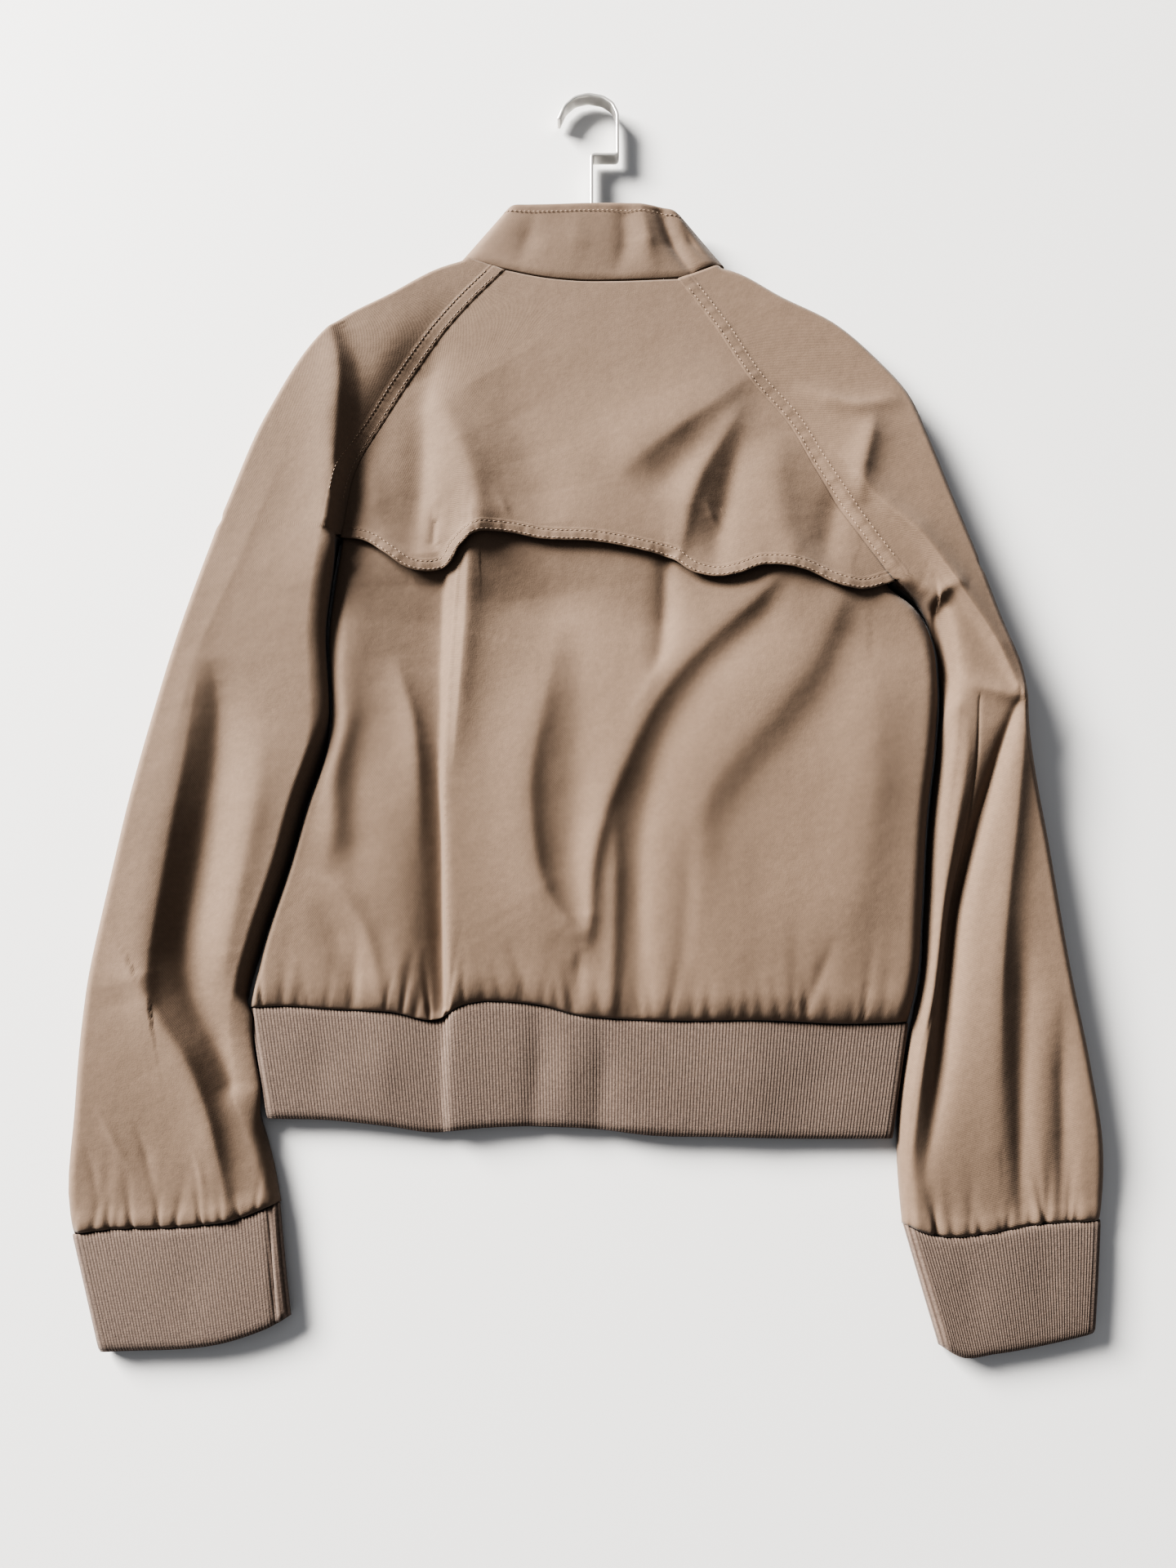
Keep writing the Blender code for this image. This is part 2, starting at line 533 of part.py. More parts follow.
def build_jacket(collection, origin):
    face, flap_row = back_points()
    under = np.exp(-((face[..., 1] - face[flap_row, :, 1]) / UNDER_FADE) ** 2)
    under[flap_row:] = 1
    back = face - outward(face) * (UNDER_FLAP * under)[..., None]
    flap = face[flap_row:].copy()
    fade = np.exp(-((flap[..., 1] - flap[:1, :, 1]) / FLAP_FADE) ** 2)
    flap[..., 2] += flap_lift(side_columns(2 * GATHERS))[None] * fade
    place(wall("back", back + [0, SEAM, 0], CLOTH), collection, origin, "cloth")
    place(wall("back_yoke", flap + [0, SEAM, 0], CLOTH), collection, origin, "cloth")
    left = sleeve_points(SLEEVE_LEFT_OUTER, SHOULDER_LEFT, SLEEVE_LEFT_INNER,
                         shifted(RAGLAN_LEFT, -2 * SEAM), CUFF_SEAM_LEFT,
                         (SHOULDER_LEFT[-1], shifted(NECK_SEAM, -2 * SEAM)[0]),
                         LEFT_HEIGHTS, LEFT_FOLDS, True)
    right = sleeve_points(SLEEVE_RIGHT_OUTER, SHOULDER_RIGHT, SLEEVE_RIGHT_INNER,
                          shifted(RAGLAN_RIGHT, 2 * SEAM), CUFF_SEAM_RIGHT,
                          (shifted(NECK_SEAM, 2 * SEAM)[-1], SHOULDER_RIGHT[-1]),
                          RIGHT_HEIGHTS, RIGHT_FOLDS, False)
    place(wall("sleeve_left_back", left + [0, SEAM, 0], CLOTH), collection, origin, "cloth")
    place(wall("sleeve_right_back", right + [0, SEAM, 0], CLOTH), collection, origin, "cloth")
    place(wall("collar", collar_points(), KNIT), collection, origin, "cloth")
    return face[0, :, :2], left[0, :, :2], right[0, :, :2]


def build_fronts(collection, origin):
    """The flat panels that lie on the surface."""
    hem = (BODY_LEFT[0], BODY_RIGHT[0])
    outlines = {
        "front_left": front_outline(BODY_LEFT, RAGLAN_LEFT, hem, FRONT_NECK),
        "front_right": front_outline(BODY_RIGHT, RAGLAN_RIGHT, hem, mirrored(FRONT_NECK)),
        "sleeve_left_front": sleeve_outline(
            SLEEVE_LEFT_OUTER, SHOULDER_LEFT, SLEEVE_NECK_LEFT,
            shifted(RAGLAN_LEFT, -2 * SEAM), SLEEVE_LEFT_INNER),
        "sleeve_right_front": sleeve_outline(
            SLEEVE_RIGHT_OUTER, SHOULDER_RIGHT, SLEEVE_NECK_RIGHT,
            shifted(RAGLAN_RIGHT, 2 * SEAM), SLEEVE_RIGHT_INNER)}
    for name, outline in outlines.items():
        place(plate(name, shifted(outline, 0, SEAM), 0, CLOTH), collection, origin, "cloth")


def build_ribs(collection, origin, hem, cuff_left, cuff_right):
    """The hem rib, open at the zip, and the two closed cuffs."""
    bands = (("hem_rib", hem, HEM_EDGE, HEM_HEIGHT, FRONT_EDGE + 1),
             ("cuff_left", cuff_left, CUFF_EDGE_LEFT, CUFF_HEIGHT, 0),
             ("cuff_right", cuff_right, CUFF_EDGE_RIGHT, CUFF_HEIGHT, 0))
    for name, seam, edge, height, half_opening in bands:
        points, raised = band_points(seam, edge, height, half_opening)
        place(wall(name, points, KNIT, raised), collection, origin, "rib")


def slider_boxes(foot):
    """The slider: two plates joined by a post between the tapes, and two ears for the pull.

    The lower plate leaves room for the pull to swing right over onto it.
    """
    half, post = SLIDER_WIDTH / 2, TEETH_WIDTH / 2 - SEAM
    low = SLIDER_LOW + PULL_THICKNESS + SEAM
    high = low + PLATE
    tape_top = TAPE_LOW + TAPE_THICKNESS
    ear_foot = foot - PULL_THICKNESS - 2 * SEAM
    return [((-half, foot, low), (half, ZIP_TOP, high)),
            ((-post, foot + 1, high - SEAM), (post, ZIP_TOP - 1, tape_top + 3 * SEAM)),
            ((-half, foot, tape_top + 2 * SEAM), (half, ZIP_TOP, tape_top + 2 * PLATE)),
            ((-half, ear_foot, SLIDER_LOW), (EAR - half, foot + 1, high)),
            ((half - EAR, ear_foot, SLIDER_LOW), (half, foot + 1, high))]


def build_zip(collection, origin, helpers):
    """The closed zip under the fronts' edges, its slider at the top of the collar, its pull."""
    half = TEETH_WIDTH / 2
    slider_foot = ZIP_TOP - SLIDER_LENGTH
    for name, side in (("zip_tape_left", -1), ("zip_tape_right", 1)):
        near, far = sorted((side * (half + SEAM), side * (half + TAPE_WIDTH)))
        tape = box((near, ZIP_FOOT, TAPE_LOW), (far, ZIP_TOP - 2, TAPE_LOW + TAPE_THICKNESS))
        place(bpy.data.objects.new(name, tape), collection, origin, "tape")
    teeth = box((-half, ZIP_FOOT, TEETH_LOW), (half, slider_foot - SEAM, TEETH_HIGH))
    place(bpy.data.objects.new("zip_teeth", teeth), collection, origin, "brass")
    slider = joined("zip_slider", slider_boxes(slider_foot), helpers, origin)
    place(slider, collection, origin, "brass")
    radius = PULL_THICKNESS / 2
    hinge = slider_foot - radius - SEAM
    round_end = [(radius * math.sin(a), radius * math.cos(a)) for a in np.linspace(0, math.pi, 9)]
    outline = round_end + [(-PULL_LENGTH, -radius), (-PULL_LENGTH, radius)]
    pull = plate("zip_pull", outline, -PULL_WIDTH / 2, PULL_WIDTH / 2)
    pull.rotation_euler = (math.radians(90), 0, math.radians(90))
    pull.location = (0, hinge * MM, (SLIDER_LOW + radius) * MM)
    place(pull, collection, origin, "brass")


def build_hanger(collection, origin):
    """A flat steel strip on edge: two arms inside the shoulders, and a cranked hook."""
    low, high = STRIP_LOW, STRIP_LOW + STRIP_DEPTH
    arms = strip_outline(sampled(HANGER_ARM, 2 * len(HANGER_ARM) - 1), STRIP)
    place(plate("hanger_arms", arms, low, high), collection, origin, "steel")
    hook = strip_outline(STEM + [CRANK] + sampled(HOOK_BEND, 15), STRIP)
    place(plate("hanger_hook", hook, low, high), collection, origin, "steel")


def main():
    for old in list(bpy.data.objects):
        bpy.data.objects.remove(old)
    scene_collection = bpy.context.scene.collection
    collection = bpy.data.collections.new("bomber jacket")
    scene_collection.children.link(collection)
    helpers = bpy.data.collections.new("joined shapes")
    scene_collection.children.link(helpers)
    origin = bpy.data.objects.new("jacket_origin", None)
    origin.location = (FRAME_SHIFT[0] * MM, FRAME_SHIFT[1] * MM, 0)
    collection.objects.link(origin)
    seams = build_jacket(collection, origin)
    build_fronts(collection, origin)
    build_ribs(collection, origin, *seams)
    build_zip(collection, origin, helpers)
    build_hanger(collection, origin)


main()
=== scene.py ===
"""Finish of a raglan bomber jacket that lies on its front on a flat steel hanger.

The file is laid out as a Blender add-on and is run as a script. The tables are in millimetres in
the plan of the laid garment: +X to the right of its back, +Y from hem to collar, +Z up.
"""

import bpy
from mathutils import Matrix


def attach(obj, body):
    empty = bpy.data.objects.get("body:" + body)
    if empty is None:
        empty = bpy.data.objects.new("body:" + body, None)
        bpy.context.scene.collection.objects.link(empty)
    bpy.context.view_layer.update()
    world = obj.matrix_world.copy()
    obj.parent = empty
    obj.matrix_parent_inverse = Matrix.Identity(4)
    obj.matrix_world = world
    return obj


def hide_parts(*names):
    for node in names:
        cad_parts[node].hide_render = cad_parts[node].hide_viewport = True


bl_info = {
    "name": "Laid Bomber Jacket",
    "version": (1, 0, 0),
    "blender": (4, 5, 0),
    "location": "3D View > Sidebar > Jacket",
    "description": "Cloth, rib knit, stitching, zip and hanger of a laid raglan jacket",
    "category": "Object",
}

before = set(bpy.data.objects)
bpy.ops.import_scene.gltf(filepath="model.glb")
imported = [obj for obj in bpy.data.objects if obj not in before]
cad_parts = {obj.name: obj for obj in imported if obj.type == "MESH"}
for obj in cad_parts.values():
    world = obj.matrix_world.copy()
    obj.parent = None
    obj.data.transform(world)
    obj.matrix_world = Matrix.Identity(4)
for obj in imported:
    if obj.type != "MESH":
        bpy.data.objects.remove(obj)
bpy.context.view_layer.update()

import math
from collections import namedtuple

import bmesh
import bpy
import numpy as np
from bpy.props import FloatProperty, FloatVectorProperty, IntProperty, PointerProperty
from mathutils import Matrix, Vector

MM = 0.001
BODY = "jacket"
PLAN_SHIFT = (1.0, 2.27, 0.0)   # from the plan of the tables to the frame's origin

# ---- cut lines in plan ----
RAGLAN_LEFT = [(-186, 84), (-176, 140), (-156, 180), (-129, 226), (-97, 271), (-66, 306)]
RAGLAN_RIGHT = [(226, 46), (196, 92), (171, 136), (152, 174), (124, 211), (101, 252), (71, 298)]
SCALLOP = [(-186, 84), (-166, 80), (-151, 70), (-134, 59), (-119, 57), (-104, 61), (-95, 74),
           (-82, 83), (-64, 85), (-33, 80), (7, 77), (41, 70), (59, 65), (78, 52), (96, 48),
           (114, 51), (127, 56), (142, 56), (164, 51), (181, 43), (200, 39), (226, 46)]
NECK_SEAM = [(-66, 306), (-34, 299), (-4, 296), (21, 296), (71, 298)]
BODY_LEFT = [(-235, -262), (-226, -215), (-212, -165), (-200, -115), (-189, -80), (-192, 20),
             (-186, 84)]
BODY_RIGHT = [(222, -272), (230, -243), (236, -194), (244, -125), (252, -77), (257, -29),
              (255, 5), (244, 30), (226, 46)]
HEM_SEAM = [(-235, -262), (-209, -261), (-177, -263), (-137, -265), (-101, -269), (-92, -263),
            (-74, -258), (-58, -258), (-30, -261), (-8, -267), (11, -269), (60, -271),
            (126, -271), (175, -273), (222, -272)]
HEM_EDGE = [(-219, -336), (-175, -337), (-136, -341), (-100, -345), (-92, -344), (-42, -341),
            (7, -343), (43, -347), (92, -348), (140, -349), (207, -349)]
SLEEVE_LEFT_OUTER = [(-344, -410), (-348, -395), (-350, -330), (-348, -245), (-341, -192),
                     (-326, -100), (-306, -6), (-278, 96)]
SHOULDER_LEFT = [(-278, 96), (-247, 183), (-207, 251), (-197, 261), (-158, 286), (-117, 313),
                 (-101, 319)]
SLEEVE_LEFT_INNER = [(-207, -390), (-214, -362), (-223, -336), (-231, -308), (-237, -280),
                     (-237.5, -262), (-228, -215), (-214, -165), (-202, -115), (-191.6, -80),
                     (-194.6, 20), (-188, 84)]
CUFF_SEAM_LEFT = [(-344, -410), (-320, -407), (-266, -405), (-236, -401), (-207, -390)]
CUFF_EDGE_LEFT = [(-320, -483), (-229, -475), (-207, -467), (-196, -461)]
SLEEVE_RIGHT_OUTER = [(343, -401), (346, -387), (349, -357), (345, -304), (337, -243),
                      (328, -148), (320, -69), (319, -22), (307, 15), (294, 60)]
SHOULDER_RIGHT = [(294, 60), (277, 113), (261, 165), (248, 202), (224, 234), (195, 263),
                  (154, 287), (114, 311), (107, 313)]
SLEEVE_RIGHT_INNER = [(211, -404), (210, -357), (213, -325), (224.8, -272), (232.4, -243),
                      (238.4, -194), (246.4, -125), (254.4, -77), (259.6, -29), (257.8, 6),
                      (246.4, 32), (227.6, 47.4)]
CUFF_SEAM_RIGHT = [(211, -404), (227, -410), (269, -409), (290, -405), (343, -401)]
CUFF_EDGE_RIGHT = [(230, -479), (244, -486), (265, -484), (306, -477), (333, -471)]
NECK_POINT = (-88, 284)
FRONT_NECK = [NECK_POINT, (-60, 246), (-30, 224), (-5, 216)]
SLEEVE_NECK_LEFT = [(-105, 312), (-98, 298), (-89, 284.6)]
SLEEVE_NECK_RIGHT = [(89, 284.6), (99, 296), (110, 306)]
HANGER_ARM = [(-197, 247), (-150, 266), (-100, 280), (-50, 289), (0, 292), (50, 289),
              (100, 280), (150, 266), (197, 247)]
HOOK = [(3, 293), (3, 416), (24, 416), (24, 455), (20, 464.5), (12, 470.5), (0, 473),
        (-11, 470), (-19, 462), (-24, 449)]
STRIP_LOW, STRIP_HIGH = 2.9, 13.9    # the steel strip stands on edge between these heights
STRIP_WALL, STRIP_EDGE = 2.4, 0.5    # its thickness, and the softening of its edges
HOOK_CORNER = 2.6                    # how far a corner of the hook is cut back
COLLAR_SEAM = [(-5.5, 217.4, 0.1), (-30, 225.6, 0.1), (-59.3, 248, 0.1), (-86, 286, 0.1),
               (-95, 314, 1.2), (-100, 321, 9), (-92, 316.6, 18.5), (-66, 307.6, 20),
               (-34, 300.4, 20), (-4, 297.4, 20), (21, 297.4, 20), (71, 299.8, 20),
               (84, 305, 20), (97, 310.8, 18.5), (108, 316, 9), (102, 309, 1.2),
               (86, 286, 0.1), (59.3, 248, 0.1), (30, 225.6, 0.1), (5.5, 217.4, 0.1)]
COLLAR_TOP = [(-5.5, 272, 0.1), (-20, 279, 0.1), (-36, 298, 0.1), (-51, 328, 0.1),
              (-60, 353, 1.2), (-67, 364, 9), (-60, 362, 17.5), (-46, 361, 19.5),
              (-28, 361, 20), (0, 362, 20), (24, 362, 20), (44, 361, 20), (57, 359.5, 19.5),
              (69, 357, 17.5), (80, 353, 9), (71, 343, 1.2), (55, 318, 0.1), (40, 296, 0.1),
              (22, 279, 0.1), (5.5, 272, 0.1)]
HEM_HIGH, CUFF_HIGH = 12.0, 13.0     # both layers of a rib laid flat
ZIP_FOOT, ZIP_TOP = -341.0, 272.0
TEETH_HALF = 2.7                     # half the width of the closed teeth
TOOTH_PITCH, TOOTH_LOW, TOOTH_HIGH = 1.5, 2.1, 4.1
TOOTH_HALF, TOOTH_LONG, TOOTH_SHORT = 0.55, 2.6, 0.9   # its reach along the zip, and each way
TAPE_GAP, TAPE_WIDTH, TAPE_HIGH, TAPE_WALL = 0.4, 11.4, 3.35, 0.5
SLIDER_LENGTH = 10.5
SLIDER_BOXES = [((-4, 0, 1.8), (4, 10.5, 2.5)), ((-2.4, 1, 2.2), (2.4, 9.5, 4.3)),
                ((-4, 0, 4), (4, 10.5, 4.8)), ((-4, -1.7, 0.4), (-3.1, 1, 2.5)),
                ((3.1, -1.7, 0.4), (4, 1, 2.5))]          # from the slider's foot
PULL_BOXES = [((-2.6, -28, 0.45), (2.6, -16, 1.45)), ((-1.7, -17, 0.5), (1.7, -3, 1.4)),
              ((-2.6, -4, 0.45), (2.6, 0.5, 1.45))]       # from the hinge
HINGE_DROP = 0.85                    # from the slider's foot to the hinge

# ---- height of the cloth: x, y, z ----
BODY_HEIGHTS = [
    (-60, 290, 20), (0, 300, 20), (60, 290, 20), (-100, 230, 20), (0, 220, 21), (120, 220, 21),
    (-150, 160, 18), (-80, 130, 22), (20, 130, 24), (110, 120, 24), (180, 110, 23),
    (-60, 5, 17), (40, 5, 19),
    (-165, 60, 14), (-90, 40, 17), (20, 40, 20), (120, 20, 25), (215, 20, 22),
    (-170, -50, 15), (-100, -60, 17), (0, -60, 22), (100, -60, 25), (210, -60, 24),
    (-185, -150, 18), (-90, -150, 17), (0, -150, 20), (100, -150, 22), (205, -150, 22),
    (-195, -225, 17), (-80, -225, 18), (20, -225, 20), (120, -225, 23), (200, -225, 22),
    (-200, -275, 17), (-80, -275, 18), (20, -275, 19), (120, -275, 21), (210, -275, 20)]
LEFT_HEIGHTS = [
    (-105, 300, 21), (-165, 270, 27), (-195, 240, 29), (-215, 180, 28), (-245, 100, 26),
    (-250, 0, 26), (-250, -90, 26), (-206, 20, 30), (-206, -40, 28), (-290, -90, 23),
    (-290, -190, 20), (-255, -190, 25), (-300, -290, 20), (-260, -290, 21), (-236, -300, 13),
    (-300, -360, 17), (-240, -360, 15), (-280, -405, 13)]
RIGHT_HEIGHTS = [
    (105, 300, 20), (165, 265, 21), (210, 220, 22), (225, 150, 26), (250, 85, 27),
    (285, 10, 26), (290, -60, 25), (300, -150, 24), (265, -150, 17), (300, -250, 23),
    (250, -250, 18), (290, -330, 20), (235, -330, 18), (280, -390, 14), (280, -405, 13)]
HEIGHT_REACH = 34.0                  # how far a listed height reaches

# ---- edges, seams and gathers ----
UNDERSIDE = 0.1                      # height of the cloth that lies on the surface
RIM = 2.1                            # height of the body's and the sleeves' folded edges
RIM_LIFTS = [(-188, 84, 20, 20), (227.6, 47.4, 20, 20), (256, -56, 13, 18)]   # x, y, rise, reach
LEFT_ROUND = (6, 3)                  # radius of the body's left edge, low down and high up
BODY_ROUND, SLEEVE_ROUND = 13, 9     # radius of its right edge and of the sleeves' edges
PUFF_FOOT, PUFF_REACH = 11.4, 20     # where the body turns down to the hem rib
SEAM_LAP = 0.8                       # how far a sleeve's edge lies over the yoke
PLEAT_LAP, PLEAT_LAP_REACH = 1.6, 8  # how far the pleat's right layer laps over its left
FLAP_SHADOW = (2.5, 60)              # how far the back sinks below the flap, and its reach
BELOW_FLAP = (4.5, 48, 26)           # a trough across the back: depth, place below, reach
FLAP_LIFT, FLAP_REACH = 2.6, 26      # lift of the flap's free edge, and how far up it goes
FLAP_ARCHES = [(0.12, 0.08, 1.5), (0.25, 0.05, 1.0), (0.70, 0.09, 1.6)]   # share, width, rise
FLAP_BORDER = (9.0, 7.0, 4)          # width, pitch of its puckers, seed
RAGLAN_STRIP = (11.0, 8.0)           # width, pitch of its puckers
HEM_GATHERS = (38, 7, -226, 214, 2.5)   # count, seed, first x, last x, rise
CUFF_GATHERS, CUFF_GATHER_INSET, CUFF_GATHER_RISE = 14, 6, 2.2
STITCH_LIFT = 0.12                   # height of a stitch above its cloth
STITCH_HALVES = (0.36, 0.28)         # half its width and half its height
STITCH_SHARE = 0.8                   # what a stitch covers of its length and gap
FLAP_ROWS, RAGLAN_ROWS, COLLAR_ROW = (7.5, 1.6), (1.8, 9.6), 7.0   # stitches from the edge
COLLAR_LEAN = 6                      # how much higher the collar's top edge stands

# ---- grids ----
SLEEVE_ROWS, SHOULDER_ROWS = 215, 120    # of a sleeve, below and above the underarm
TOP_COLUMNS, UNDER_COLUMNS = 104, 26     # of a sleeve's upper side and of its underside
BACK_ROWS, HIDDEN_ROWS = 170, 9          # of the back, below the flap's edge and above it
YOKE_COLUMNS, YOKE_ROWS = 210, 170
FRONT_COLUMNS, FRONT_ROWS = 110, 160
COLLAR_COLUMNS = 220
TAPE_COLUMNS, TAPE_ROWS = 14, 240

# ---- light, floor and metals ----
WINDOW_PLACE, WINDOW_SIZE = (-7.5, 5.5, 4.4), (5.5, 3.5)
WINDOW_COLOUR = (1.0, 0.98, 0.95)
ROOM_COLOUR, ROOM_STRENGTH = (0.93, 0.95, 1.0, 1), 0.3
FLOOR_HIGH, FLOOR_SIZE = -0.0004, 4
BRASS = ((0.42, 0.34, 0.24), 0.38, 700.0)   # colour, roughness, grain
STEEL = ((0.36, 0.35, 0.33), 0.24, 260.0)
WAVE_PERIOD = 0.314                  # a wave texture's period at a scale of 1
KNIT_STITCH = 0.0016                 # metres from one knitted stitch to the next up a rib

